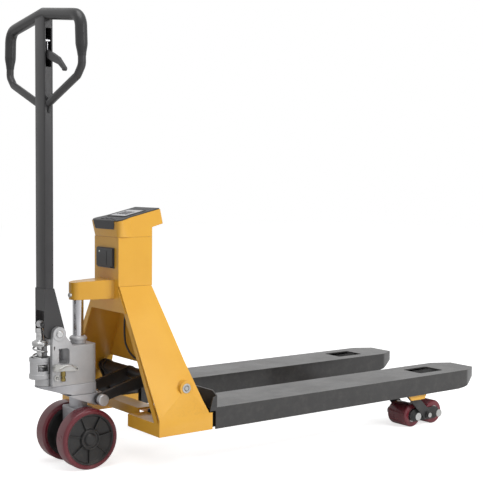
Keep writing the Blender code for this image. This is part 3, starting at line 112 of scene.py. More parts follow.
def edge_wear_group():
    tree, start, end = new_group(
        "edge wear",
        (
            ("Width", "NodeSocketFloat", 0.0015),
            ("Breakup", "NodeSocketFloat", 160.0),
            ("Amount", "NodeSocketFloat", 0.5),
        ),
        (("Mask", "NodeSocketFloat"),),
    )
    place = put(tree, "ShaderNodeTexCoord").outputs["Object"]
    soft = put(tree, "ShaderNodeBevel", {"samples": 4}, Radius=start.outputs["Width"]).outputs[0]
    true = put(tree, "ShaderNodeNewGeometry").outputs["True Normal"]
    facing = put(tree, "ShaderNodeVectorMath", {"operation": "DOT_PRODUCT"}, i0=soft, i1=true).outputs["Value"]
    edge = ramp(tree, math_node(tree, "SUBTRACT", 1.0, facing), 0.012, 0.16)
    patches = put(tree, "ShaderNodeTexNoise", None, Vector=place, Scale=start.outputs["Breakup"], Detail=4.0)
    broken = ramp(tree, patches.outputs[0], 0.47, 0.62)
    mask = math_node(tree, "MULTIPLY", math_node(tree, "MULTIPLY", edge, broken), start.outputs["Amount"], True)
    tree.links.new(mask, end.inputs[0])
    return tree


def grain_group():
    tree, start, end = new_group(
        "surface grain",
        (
            ("Fine", "NodeSocketFloat", 900.0), ("Coarse", "NodeSocketFloat", 120.0),
            ("Coarse Share", "NodeSocketFloat", 0.4)
        ),
        (("Height", "NodeSocketFloat"), ("Drift", "NodeSocketFloat")),
    )
    place = put(tree, "ShaderNodeTexCoord").outputs["Object"]
    fine = put(tree, "ShaderNodeTexNoise", None, Vector=place, Scale=start.outputs["Fine"], Detail=2.0).outputs[0]
    coarse = put(tree, "ShaderNodeTexNoise", None, Vector=place, Scale=start.outputs["Coarse"], Detail=3.0).outputs[0]
    share = math_node(tree, "MULTIPLY", coarse, start.outputs["Coarse Share"])
    tree.links.new(math_node(tree, "ADD", fine, share), end.inputs[0])
    drift = put(tree, "ShaderNodeTexNoise", None, Vector=place, Scale=7.0, Detail=5.0, Roughness=0.6).outputs[0]
    tree.links.new(ramp(tree, drift, 0.32, 0.68), end.inputs[1])
    return tree


def dust_group():
    tree, start, end = new_group(
        "shop dust",
        (("Amount", "NodeSocketFloat", 0.3), ("Height", "NodeSocketFloat", 0.25)),
        (("Mask", "NodeSocketFloat"),),
    )
    place = put(tree, "ShaderNodeTexCoord").outputs["Object"]
    height = put(tree, "ShaderNodeSeparateXYZ", None, Vector=place).outputs[2]
    up = put(
        tree, "ShaderNodeSeparateXYZ", None, Vector=put(tree, "ShaderNodeNewGeometry").outputs["Normal"]
    ).outputs[2]
    flat = ramp(tree, up, 0.3, 1.0, 0.25, 1.0)
    low = put(
        tree, "ShaderNodeMapRange", None, Value=height, From_Min=start.outputs["Height"], From_Max=0.0, To_Min=0.15,
        To_Max=1.0
    ).outputs[0]
    speckle = put(tree, "ShaderNodeTexNoise", None, Vector=place, Scale=38.0, Detail=8.0, Roughness=0.72).outputs[0]
    patches = ramp(tree, speckle, 0.42, 0.72)
    mask = math_node(tree, "MULTIPLY", math_node(tree, "MULTIPLY", flat, low), patches)
    tree.links.new(math_node(tree, "MULTIPLY", mask, start.outputs["Amount"], True), end.inputs[0])
    return tree


def scratch_group():
    tree, start, end = new_group(
        "fine scratches",
        (
            ("Scale", "NodeSocketFloat", 30.0), ("Stretch", "NodeSocketFloat", 12.0), ("Turn", "NodeSocketFloat", 0.4),
            ("Amount", "NodeSocketFloat", 0.5)
        ),
        (("Mask", "NodeSocketFloat"),),
    )
    place = put(tree, "ShaderNodeTexCoord").outputs["Object"]
    turn = put(tree, "ShaderNodeCombineXYZ", None, X=start.outputs["Turn"], Y=0.3, Z=start.outputs["Turn"]).outputs[0]
    turned_place = put(
        tree, "ShaderNodeVectorRotate", {"rotation_type": "EULER_XYZ"}, Vector=place, Rotation=turn
    ).outputs[0]
    stretch = put(
        tree, "ShaderNodeCombineXYZ", None, X=1.0, Y=start.outputs["Stretch"], Z=start.outputs["Stretch"]
    ).outputs[0]
    long = put(tree, "ShaderNodeVectorMath", {"operation": "MULTIPLY"}, i0=turned_place, i1=stretch).outputs[0]
    lines = put(
        tree, "ShaderNodeTexNoise", None, Vector=long, Scale=start.outputs["Scale"], Detail=6.0, Roughness=0.7
    ).outputs[0]
    thin = ramp(tree, lines, 0.64, 0.70)
    where = put(tree, "ShaderNodeTexNoise", None, Vector=place, Scale=9.0, Detail=2.0).outputs[0]
    mask = math_node(tree, "MULTIPLY", thin, ramp(tree, where, 0.45, 0.7))
    tree.links.new(math_node(tree, "MULTIPLY", mask, start.outputs["Amount"], True), end.inputs[0])
    return tree


EDGE_WEAR = edge_wear_group()
GRAIN = grain_group()
DUST = dust_group()
SCRATCHES = scratch_group()


def placed(tree, group, **inputs):
    made = put(tree, "ShaderNodeGroup", {"node_tree": group})
    for key, value in inputs.items():
        made.inputs[key.replace("_", " ")].default_value = value
    return made


def surface(
    name,
    colour,
    shade,
    roughness,
    metallic=0.0,
    wear=(0.0015, 0.4, (0.3, 0.3, 0.3)),
    dust=0.2,
    dust_height=0.3,
    grain=(900.0, 120.0, 0.4),
    relief=0.00004,
    scratches=0.3,
    round_edges=0.0008,
    coat=0.0,
    spread=0.12,
):
    """A finish: two colours that drift into each other, worn edges, scratches, dust, and relief."""
    made = bpy.data.materials.new(name)
    made.use_nodes = True
    tree = made.node_tree
    shader = tree.nodes["Principled BSDF"]
    texture = placed(tree, GRAIN, Fine=grain[0], Coarse=grain[1], Coarse_Share=grain[2])
    worn = placed(tree, EDGE_WEAR, Width=wear[0], Amount=wear[1]).outputs[0]
    scraped = placed(tree, SCRATCHES, Amount=scratches).outputs[0]
    dusty = placed(tree, DUST, Amount=dust, Height=dust_height).outputs[0]
    base = mixed(tree, texture.outputs["Drift"], (*colour, 1.0), (*shade, 1.0))
    base = mixed(
        tree, math_node(tree, "MAXIMUM", worn, math_node(tree, "MULTIPLY", scraped, 0.6)), base, (*wear[2], 1.0)
    )
    base = mixed(tree, dusty, base, (0.42, 0.39, 0.34, 1.0))
    tree.links.new(base, shader.inputs["Base Color"])
    rough = math_node(tree, "MULTIPLY", texture.outputs["Drift"], spread)
    rough = math_node(tree, "ADD", rough, roughness - spread / 2)
    rough = math_node(tree, "ADD", rough, math_node(tree, "MULTIPLY", dusty, 0.35))
    rough = math_node(tree, "ADD", rough, math_node(tree, "MULTIPLY", scraped, 0.15), True)
    tree.links.new(rough, shader.inputs["Roughness"])
    soft = put(tree, "ShaderNodeBevel", {"samples": 4}, Radius=round_edges).outputs[0]
    height = math_node(tree, "SUBTRACT", texture.outputs["Height"], math_node(tree, "MULTIPLY", scraped, 1.5))
    bump = put(tree, "ShaderNodeBump", None, Strength=1.0, Distance=relief, Height=height, Normal=soft)
    tree.links.new(bump.outputs[0], shader.inputs["Normal"])
    shader.inputs["Metallic"].default_value = metallic
    shader.inputs["Coat Weight"].default_value = coat
    shader.inputs["Coat Roughness"].default_value = 0.15
    return made


BARE_STEEL = (0.42, 0.41, 0.40)
orange = surface(
    "orange powder coat", (0.80, 0.42, 0.040), (0.76, 0.385, 0.033), 0.34, wear=(0.0016, 0.35, (0.34, 0.17, 0.05)),
    dust=0.10, grain=(1400.0, 260.0, 1.2), relief=0.00005, scratches=0.12, round_edges=0.0016, coat=0.45,
)
fork_black = surface(
    "black powder coat", (0.018, 0.017, 0.017), (0.025, 0.024, 0.024), 0.36, wear=(0.0018, 0.45, (0.20, 0.19, 0.18)),
    dust=0.22, dust_height=0.5, grain=(1100.0, 180.0, 1.0), relief=0.00008, scratches=0.35, round_edges=0.0024,
    coat=0.45,
)
handle_black = surface(
    "handle paint", (0.030, 0.029, 0.031), (0.040, 0.039, 0.041), 0.42, wear=(0.0012, 0.30, (0.22, 0.21, 0.21)),
    dust=0.05, grain=(1200.0, 200.0, 0.8), relief=0.00005, scratches=0.25, coat=0.20,
)
grip_black = surface(
    "grip sleeve", (0.016, 0.016, 0.017), (0.024, 0.024, 0.025), 0.46, wear=(0.001, 0.12, (0.09, 0.09, 0.09)),
    dust=0.04, grain=(2200.0, 500.0, 0.8), relief=0.00006, scratches=0.10, coat=0.35,
)
cast_silver = surface(
    "cast silver", (0.60, 0.60, 0.61), (0.46, 0.46, 0.47), 0.40, metallic=0.55, wear=(0.0015, 0.25, (0.78, 0.78, 0.79)),
    dust=0.12, dust_height=0.6, grain=(750.0, 210.0, 1.6), relief=0.00022, scratches=0.15, round_edges=0.0022,
    spread=0.22,
)
plate_grey = surface(
    "grey primer steel", (0.52, 0.52, 0.54), (0.40, 0.40, 0.42), 0.46, metallic=0.35,
    wear=(0.0015, 0.5, (0.55, 0.55, 0.55)),
    dust=0.22, dust_height=0.4, grain=(800.0, 150.0, 1.0), relief=0.00014, scratches=0.4, round_edges=0.0015,
    spread=0.2,
)
zinc = surface(
    "zinc plate", (0.66, 0.66, 0.67), (0.52, 0.52, 0.50), 0.27, metallic=0.95, wear=(0.0008, 0.3, (0.85, 0.85, 0.85)),
    dust=0.10, grain=(1600.0, 300.0, 0.8), relief=0.00004, scratches=0.35, round_edges=0.0006, spread=0.2,
)
chrome = surface(
    "hard chrome", (0.70, 0.70, 0.72), (0.62, 0.62, 0.65), 0.19, metallic=1.0, wear=(0.0006, 0.1, (0.9, 0.9, 0.9)),
    dust=0.04, grain=(1800.0, 90.0, 0.6), relief=0.000012, scratches=0.25, round_edges=0.0005, spread=0.08,
)
dark_steel = surface(
    "black linkage steel", (0.030, 0.030, 0.032), (0.055, 0.054, 0.054), 0.46, metallic=0.2,
    wear=(0.0012, 0.5, BARE_STEEL),
    dust=0.22, grain=(900.0, 160.0, 1.0), relief=0.0001, scratches=0.4,
)
tyre_maroon = surface(
    "maroon polyurethane", (0.13, 0.010, 0.020), (0.17, 0.016, 0.028), 0.34, wear=(0.0022, 0.35, (0.40, 0.16, 0.16)),
    dust=0.30, dust_height=0.17, grain=(700.0, 90.0, 1.4), relief=0.00010, scratches=0.35, coat=0.30, round_edges=0.001,
    spread=0.16,
)
hub_black = surface(
    "moulded hub", (0.020, 0.020, 0.021), (0.032, 0.031, 0.031), 0.42, wear=(0.0014, 0.35, (0.16, 0.16, 0.16)),
    dust=0.25, dust_height=0.17, grain=(1300.0, 240.0, 0.8), relief=0.00007, scratches=0.2,
)
panel_grey = surface(
    "moulded case", (0.045, 0.046, 0.050), (0.056, 0.057, 0.061), 0.46, wear=(0.0008, 0.15, (0.20, 0.20, 0.21)),
    dust=0.05, grain=(2600.0, 700.0, 0.8), relief=0.00008, scratches=0.08, round_edges=0.0006,
)
key_grey = surface(
    "soft keys", (0.11, 0.11, 0.125), (0.095, 0.096, 0.11), 0.52, wear=(0.0006, 0.2, (0.5, 0.5, 0.5)),
    dust=0.03, grain=(2800.0, 700.0, 0.6), relief=0.00005, scratches=0.05, round_edges=0.0006,
)
cable_black = surface(
    "cable sheath", (0.014, 0.014, 0.015), (0.022, 0.022, 0.022), 0.50, wear=(0.0005, 0.1, (0.08, 0.08, 0.08)),
    dust=0.10, grain=(2400.0, 500.0, 0.6), relief=0.00005, scratches=0.1,
)
brass = surface(
    "brass fitting", (0.42, 0.33, 0.12), (0.32, 0.24, 0.08), 0.26, metallic=0.95,
    wear=(0.0006, 0.3, (0.85, 0.62, 0.28)),
    dust=0.12, grain=(1500.0, 250.0, 0.8), relief=0.00004, scratches=0.3, round_edges=0.0005,
)
cell_alloy = surface(
    "machined alloy", (0.60, 0.61, 0.62), (0.52, 0.53, 0.54), 0.32, metallic=0.9, wear=(0.0008, 0.2, (0.8, 0.8, 0.8)),
    dust=0.15, grain=(1500.0, 300.0, 0.6), relief=0.00004, scratches=0.4,
)


def display_finish():
    """The display's window: a clear face over a pale grey field with dark numerals."""
    made = bpy.data.materials.new("display window")
    made.use_nodes = True
    tree = made.node_tree
    shader = tree.nodes["Principled BSDF"]
    texture = placed(tree, GRAIN, Fine=2500.0, Coarse=60.0, Coarse_Share=0.5)
    scraped = placed(tree, SCRATCHES, Amount=0.2).outputs[0]
    dusty = placed(tree, DUST, Amount=0.10, Height=1.0).outputs[0]
    base = mixed(tree, texture.outputs["Drift"], (0.52, 0.52, 0.56, 1.0), (0.58, 0.58, 0.62, 1.0))
    tree.links.new(mixed(tree, dusty, base, (0.6, 0.6, 0.58, 1.0)), shader.inputs["Base Color"])
    rough = math_node(tree, "ADD", math_node(tree, "MULTIPLY", scraped, 0.2), 0.10)
    tree.links.new(
        math_node(tree, "ADD", rough, math_node(tree, "MULTIPLY", dusty, 0.3), True), shader.inputs["Roughness"]
    )
    shader.inputs["Coat Weight"].default_value = 0.6
    shader.inputs["Coat Roughness"].default_value = 0.05
    return made


display_field = display_finish()


def lamp_finish():
    made = bpy.data.materials.new("green lamp")
    made.use_nodes = True
    tree = made.node_tree
    shader = tree.nodes["Principled BSDF"]
    texture = placed(tree, GRAIN, Fine=900.0, Coarse=300.0, Coarse_Share=0.5)
    base = mixed(tree, texture.outputs["Drift"], (0.75, 0.85, 0.80, 1.0), (0.65, 0.80, 0.72, 1.0))
    tree.links.new(base, shader.inputs["Base Color"])
    tree.links.new(base, shader.inputs["Emission Color"])
    shader.inputs["Emission Strength"].default_value = 0.6
    shader.inputs["Roughness"].default_value = 0.25
    return made


lamp_lit = lamp_finish()


# ---------------------------------------------------------------- making pieces


def link_mesh(name, mesh, finish, body, smooth=35):
    made = bpy.data.objects.new(name, mesh)
    bpy.context.scene.collection.objects.link(made)
    mesh.materials.clear()
    mesh.materials.append(finish)
    mesh.shade_smooth()
    mesh.set_sharp_from_angle(angle=math.radians(smooth))
    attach(made, body)
    return made


def bevelled(obj, width, segments=2, angle=32):
    step = obj.modifiers.new("Rounded edges", "BEVEL")
    step.width = width
    step.segments = segments
    step.limit_method = "ANGLE"
    step.angle_limit = math.radians(angle)
    step.harden_normals = True
    step.use_clamp_overlap = True
    return obj


def finished(node, finish, width=0.0008, segments=2, smooth=35):
    """A clean copy of a CAD node, which stands for it. Its shortest edge limits the rounding, often to almost none."""
    source = NODES[node].data
    bm = bmesh.new()
    corners = [bm.verts.new(v.co) for v in source.vertices]
    for face in source.polygons:
        try:
            bm.faces.new([corners[i] for i in face.vertices])
        except ValueError:
            continue
    bmesh.ops.remove_doubles(bm, verts=list(bm.verts), dist=2e-6)
    bmesh.ops.dissolve_limit(bm, angle_limit=math.radians(0.4), verts=list(bm.verts), edges=list(bm.edges))
    mesh = bpy.data.meshes.new(node + "_skin")
    bm.to_mesh(mesh)
    bm.free()
    made = link_mesh(node + "_skin", mesh, finish, BODY_OF[node], smooth)
    if width:
        bevelled(made, width, segments)
    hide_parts(node)
    return made


def painted(node, finish):
    """A CAD node kept as it is, with its finish."""
    obj = NODES[node]
    obj.data.materials.clear()
    obj.data.materials.append(finish)
    return obj


def axis_turn(axis):
    if axis == "X":
        return Matrix(((0, 0, 1), (1, 0, 0), (0, 1, 0))).to_4x4()
    if axis == "Y":
        return Matrix(((1, 0, 0), (0, 0, 1), (0, 1, 0))).to_4x4()
    return Matrix.Identity(4)


def lathe(bm, profile, centre, axis, steps=64):
    """Adds a closed outline of (radius, place along the axis) turned round the axis."""
    turn = Matrix.Translation(centre) @ axis_turn(axis)
    rings = []
    for radius, along in profile:
        if radius < 1e-7:
            rings.append([bm.verts.new(turn @ Vector((0, 0, along)))])
            continue
        ring = []
        for i in range(steps):
            angle = 2 * math.pi * i / steps
            ring.append(bm.verts.new(turn @ Vector((radius * math.cos(angle), radius * math.sin(angle), along))))
        rings.append(ring)
    for k, ring in enumerate(rings):
        other = rings[(k + 1) % len(rings)]
        if len(ring) == 1 and len(other) == 1:
            continue
        for i in range(steps):
            j = (i + 1) % steps
            corners = [ring[i % len(ring)], ring[j % len(ring)], other[j % len(other)], other[i % len(other)]]
            bm.faces.new(list(dict.fromkeys(corners)))


def softened(points, radii, steps=5):
    """An outline with each corner turned into an arc of its radius."""
    found = []
    for i, corner in enumerate(points):
        if not radii[i]:
            found.append(tuple(corner))
            continue
        here = Vector(corner)
        back = (Vector(points[i - 1]) - here).normalized()
        ahead = (Vector(points[(i + 1) % len(points)]) - here).normalized()
        half = back.angle(ahead) / 2
        reach = radii[i] / math.tan(half)
        middle = here + (back + ahead).normalized() * (radii[i] / math.sin(half))
        first = here + back * reach - middle
        sweep = first.angle_signed(here + ahead * reach - middle)
        for k in range(steps + 1):
            way = first.copy()
            way.rotate(Matrix.Rotation(-sweep * k / steps, 2))
            found.append(tuple(middle + way))
    return found


def extrude(bm, points, axis, low, high):
    turn = axis_turn(axis)
    bottom = [bm.verts.new(turn @ Vector((a, b, low))) for a, b in points]
    top = [bm.verts.new(turn @ Vector((a, b, high))) for a, b in points]
    bm.faces.new(bottom)
    bm.faces.new(list(reversed(top)))
    for i in range(len(points)):
        j = (i + 1) % len(points)
        bm.faces.new((bottom[i], top[i], top[j], bottom[j]))


def sweep(bm, path, radius, sides=20):
    """Adds a round bar along a path of points, with closed ends."""
    points = [Vector(p) for p in path]
    rings = []
    normal = None
    for i, here in enumerate(points):
        way = (points[min(i + 1, len(points) - 1)] - points[max(i - 1, 0)]).normalized()
        if normal is None:
            normal = way.orthogonal().normalized()
        normal = (normal - way * normal.dot(way)).normalized()
        across = way.cross(normal)
        size = radius(i) if callable(radius) else radius
        ring = []
        for k in range(sides):
            angle = 2 * math.pi * k / sides
            ring.append(bm.verts.new(here + size * (math.cos(angle) * normal + math.sin(angle) * across)))
        rings.append(ring)
    for first, second in zip(rings, rings[1:]):
        for k in range(sides):
            j = (k + 1) % sides
            bm.faces.new((first[k], first[j], second[j], second[k]))
    bm.faces.new(list(reversed(rings[0])))
    bm.faces.new(rings[-1])


def smooth_path(points, steps=6):
    """Points on a smooth curve through the given points."""
    guides = [Vector(p) for p in points]
    found = []
    for i in range(len(guides) - 1):
        a, b, c, d = (guides[min(max(i + k, 0), len(guides) - 1)] for k in (-1, 0, 1, 2))
        for n in range(steps):
            t = n / steps
            found.append(
                0.5 * (2 * b + (c - a) * t + (2 * a - 5 * b + 4 * c - d) * t**2 + (3 * b - a - 3 * c + d) * t**3)
            )
    found.append(guides[-1])
    return found


def built(name, shapes, finish, body, replaces=(), smooth=35, bevel=0.0):
    """A piece from a function that fills a bmesh."""
    bm = bmesh.new()
    shapes(bm)
    bmesh.ops.recalc_face_normals(bm, faces=list(bm.faces))
    mesh = bpy.data.meshes.new(name)
    bm.to_mesh(mesh)
    bm.free()
    made = link_mesh(name, mesh, finish, body, smooth)
    if bevel:
        bevelled(made, bevel)
    if replaces:
        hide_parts(*replaces)
    return made


def middle(node):
    low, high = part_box(node)
    return (low + high) / 2, high - low


# ---------------------------------------------------------------- repeated fittings


def scatter_tree(name, finish):
    """Copies of one shape on the points of a guide mesh, turned to each point's normal."""
    tree = bpy.data.node_groups.new(name, "GeometryNodeTree")
    tree.interface.new_socket("Geometry", in_out="INPUT", socket_type="NodeSocketGeometry")
    tree.interface.new_socket("Size", in_out="INPUT", socket_type="NodeSocketFloat").default_value = 1.0
    tree.interface.new_socket("Shape", in_out="INPUT", socket_type="NodeSocketObject")
    tree.interface.new_socket("Geometry", in_out="OUTPUT", socket_type="NodeSocketGeometry")
    start = tree.nodes.new("NodeGroupInput")
    end = tree.nodes.new("NodeGroupOutput")
    info = put(tree, "GeometryNodeObjectInfo", None, Object=start.outputs["Shape"])
    facing = put(tree, "GeometryNodeInputNamedAttribute", {"data_type": "FLOAT_VECTOR"}, Name="facing")
    along = put(tree, "GeometryNodeInputNamedAttribute", {"data_type": "FLOAT_VECTOR"}, Name="along")
    upright = put(tree, "FunctionNodeAlignRotationToVector", {"axis": "Z"}, Vector=facing.outputs[0])
    turn = put(
        tree, "FunctionNodeAlignRotationToVector", {"axis": "X", "pivot_axis": "Z"}, Rotation=upright.outputs[0],
        Vector=along.outputs[0]
    )
    size = put(
        tree, "ShaderNodeCombineXYZ", None, X=start.outputs["Size"], Y=start.outputs["Size"], Z=start.outputs["Size"]
    )
    copies = put(
        tree,
        "GeometryNodeInstanceOnPoints",
        None,
        Points=start.outputs["Geometry"],
        Instance=info.outputs["Geometry"],
        Rotation=turn.outputs[0],
        Scale=size.outputs[0],
    )
    real = put(tree, "GeometryNodeRealizeInstances", None, Geometry=copies.outputs[0])
    painted_copies = put(tree, "GeometryNodeSetMaterial", None, Geometry=real.outputs[0], Material=finish)
    tree.links.new(painted_copies.outputs[0], end.inputs[0])
    return tree


def scattered(name, shape, points, finish, body, size=1.0, smooth=35, along=(0.6, 0.0, 0.8)):
    """One mesh of copies of a shape, at (place, direction) pairs, with their X turned towards one way."""
    guide = bpy.data.meshes.new(name + "_points")
    guide.from_pydata([tuple(p) for p, _ in points], [], [])
    facing = guide.attributes.new("facing", "FLOAT_VECTOR", "POINT")
    facing.data.foreach_set("vector", [c for _, d in points for c in d])
    second = guide.attributes.new("along", "FLOAT_VECTOR", "POINT")
    second.data.foreach_set("vector", [c for _ in points for c in along])
    holder = bpy.data.objects.new(name + "_points", guide)
    bpy.context.scene.collection.objects.link(holder)
    pattern = bpy.data.meshes.new(name + "_shape")
    bm = bmesh.new()
    shape(bm)
    bmesh.ops.recalc_face_normals(bm, faces=list(bm.faces))
    bm.to_mesh(pattern)
    bm.free()
    source = bpy.data.objects.new(name + "_shape", pattern)
    bpy.context.scene.collection.objects.link(source)
    step = holder.modifiers.new("Copies", "NODES")
    step.node_group = scatter_tree(name, finish)
    sockets = {s.name: s.identifier for s in step.node_group.interface.items_tree if s.in_out == "INPUT"}
    step[sockets["Size"]] = size
    step[sockets["Shape"]] = source
    bpy.context.view_layer.update()
    graph = bpy.context.evaluated_depsgraph_get()
    mesh = bpy.data.meshes.new_from_object(holder.evaluated_get(graph), depsgraph=graph)
    mesh.name = name
    bpy.data.objects.remove(holder)
    bpy.data.objects.remove(source)
    return link_mesh(name, mesh, finish, body, smooth)


def hex_head(across, height):
    def shape(bm):
        r = across / math.sqrt(3)
        profile = ((0, -0.001), (r, -0.001), (r, height * 0.8), (r * 0.86, height), (0, height))
        lathe(bm, profile, (0, 0, 0), "Z", 6)
        washer = (
            (0, -0.001), (r * 1.25, -0.001), (r * 1.25, height * 0.22), (r * 1.2, height * 0.28), (0, height * 0.28)
        )
        lathe(bm, washer, (0, 0, 0), "Z", 24)

    return shape


def cap_head(radius, height):
    """A socket cap screw, with a round socket."""

    def shape(bm):
        r = radius
        outer = (
            (r, -0.001), (r, height * 0.85), (r * 0.88, height), (r * 0.55, height), (r * 0.5, height * 0.35),
            (0, height * 0.35), (0, -0.001)
        )
        lathe(bm, outer, (0, 0, 0), "Z", 18)

    return shape


def grown(name, tree, values, guide, finish, body, smooth=60):
    """The plain mesh that a tree makes from a guide mesh, with its named inputs set."""
    holder = bpy.data.objects.new(name + "_guide", guide)
    bpy.context.scene.collection.objects.link(holder)
    step = holder.modifiers.new("Growth", "NODES")
    step.node_group = tree
    sockets = {s.name: s.identifier for s in tree.interface.items_tree if s.in_out == "INPUT"}
    for title, value in values.items():
        step[sockets[title]] = value
    bpy.context.view_layer.update()
    graph = bpy.context.evaluated_depsgraph_get()
    mesh = bpy.data.meshes.new_from_object(holder.evaluated_get(graph), depsgraph=graph)
    mesh.name = name
    bpy.data.objects.remove(holder)
    return link_mesh(name, mesh, finish, body, smooth)


def new_growth(name, inputs):
    tree = bpy.data.node_groups.new(name, "GeometryNodeTree")
    tree.interface.new_socket("Geometry", in_out="INPUT", socket_type="NodeSocketGeometry")
    for title, kind, value in inputs:
        tree.interface.new_socket(title, in_out="INPUT", socket_type=kind).default_value = value
    tree.interface.new_socket("Geometry", in_out="OUTPUT", socket_type="NodeSocketGeometry")
    return tree, tree.nodes.new("NodeGroupInput"), tree.nodes.new("NodeGroupOutput")


def closed_tree(tree, end, geometry, finish):
    real = put(tree, "GeometryNodeRealizeInstances", None, Geometry=geometry)
    coloured = put(tree, "GeometryNodeSetMaterial", None, Geometry=real.outputs[0], Material=finish)
    tree.links.new(coloured.outputs[0], end.inputs[0])


def bead_tree(finish):
    """A rippled bead along the guide's edges."""
    tree, start, end = new_growth(
        "weld bead " + finish.name,
        (
            ("Bead Radius", "NodeSocketFloat", 0.0024), ("Ripple Pitch", "NodeSocketFloat", 0.0011),
            ("Ripple Depth", "NodeSocketFloat", 0.14)
        ),
    )
    run = put(tree, "GeometryNodeMeshToCurve", None, Mesh=start.outputs["Geometry"])
    fine = put(
        tree, "GeometryNodeResampleCurve", {"mode": "LENGTH"}, Curve=run.outputs[0],
        Length=start.outputs["Ripple Pitch"]
    )
    count = put(tree, "GeometryNodeInputIndex").outputs[0]
    wave = math_node(tree, "ABSOLUTE", math_node(tree, "SINE", math_node(tree, "MULTIPLY", count, 0.9)))
    thick = math_node(
        tree, "ADD", math_node(tree, "SUBTRACT", 1.0, start.outputs["Ripple Depth"]),
        math_node(tree, "MULTIPLY", wave, start.outputs["Ripple Depth"])
    )
    ripple = put(tree, "GeometryNodeSetCurveRadius", None, Curve=fine.outputs[0], Radius=thick)
    section = put(tree, "GeometryNodeCurvePrimitiveCircle", None, Resolution=8, Radius=start.outputs["Bead Radius"])
    solid = put(
        tree, "GeometryNodeCurveToMesh", None, Curve=ripple.outputs[0], Profile_Curve=section.outputs[0], Fill_Caps=True
    )
    if "Scale" in solid.inputs:
        tree.links.new(thick, solid.inputs["Scale"])
    closed_tree(tree, end, solid.outputs[0], finish)
    return tree


def weld_bead(name, path, body, finish, size=0.0024):
    """A weld along a path: overlapping ripples."""
    guide = bpy.data.meshes.new(name + "_guide")
    guide.from_pydata([tuple(p) for p in path], [(i, i + 1) for i in range(len(path) - 1)], [])
    tree = bpy.data.node_groups.get("weld bead " + finish.name) or bead_tree(finish)
    return grown(name, tree, {"Bead Radius": size}, guide, finish, body)


def spring_tree(finish):
    """A coil with a flat ring at each end."""
    tree, start, end = new_growth(
        "coil spring",
        (
            ("Turns", "NodeSocketFloat", 5.0), ("Coil Radius", "NodeSocketFloat", 0.016),
            ("Wire Radius", "NodeSocketFloat", 0.0026), ("Height", "NodeSocketFloat", 0.05),
            ("Foot", "NodeSocketVector", (0.0, 0.0, 0.0)),
        ),
    )
    radius, rise = start.outputs["Coil Radius"], start.outputs["Height"]
    coil = put(
        tree, "GeometryNodeCurveSpiral", None, Resolution=30, Rotations=start.outputs["Turns"], Start_Radius=radius,
        End_Radius=radius, Height=rise
    )
    section = put(tree, "GeometryNodeCurvePrimitiveCircle", None, Resolution=12, Radius=start.outputs["Wire Radius"])
    ring = put(tree, "GeometryNodeCurvePrimitiveCircle", None, Resolution=40, Radius=radius)
    lift = put(tree, "ShaderNodeCombineXYZ", None, Z=rise).outputs[0]
    upper = put(tree, "GeometryNodeTransform", None, Geometry=ring.outputs[0], Translation=lift)
    wires = [
        put(
            tree, "GeometryNodeCurveToMesh", None, Curve=line, Profile_Curve=section.outputs[0], Fill_Caps=True
        ).outputs[0]
        for line in (coil.outputs[0], ring.outputs[0], upper.outputs[0])
    ]
    both = tree.nodes.new("GeometryNodeJoinGeometry")
    for wire in wires:
        tree.links.new(wire, both.inputs[0])
    stood = put(tree, "GeometryNodeTransform", None, Geometry=both.outputs[0], Translation=start.outputs["Foot"])
    closed_tree(tree, end, stood.outputs[0], finish)
    return tree


# ---------------------------------------------------------------- wheels and rollers


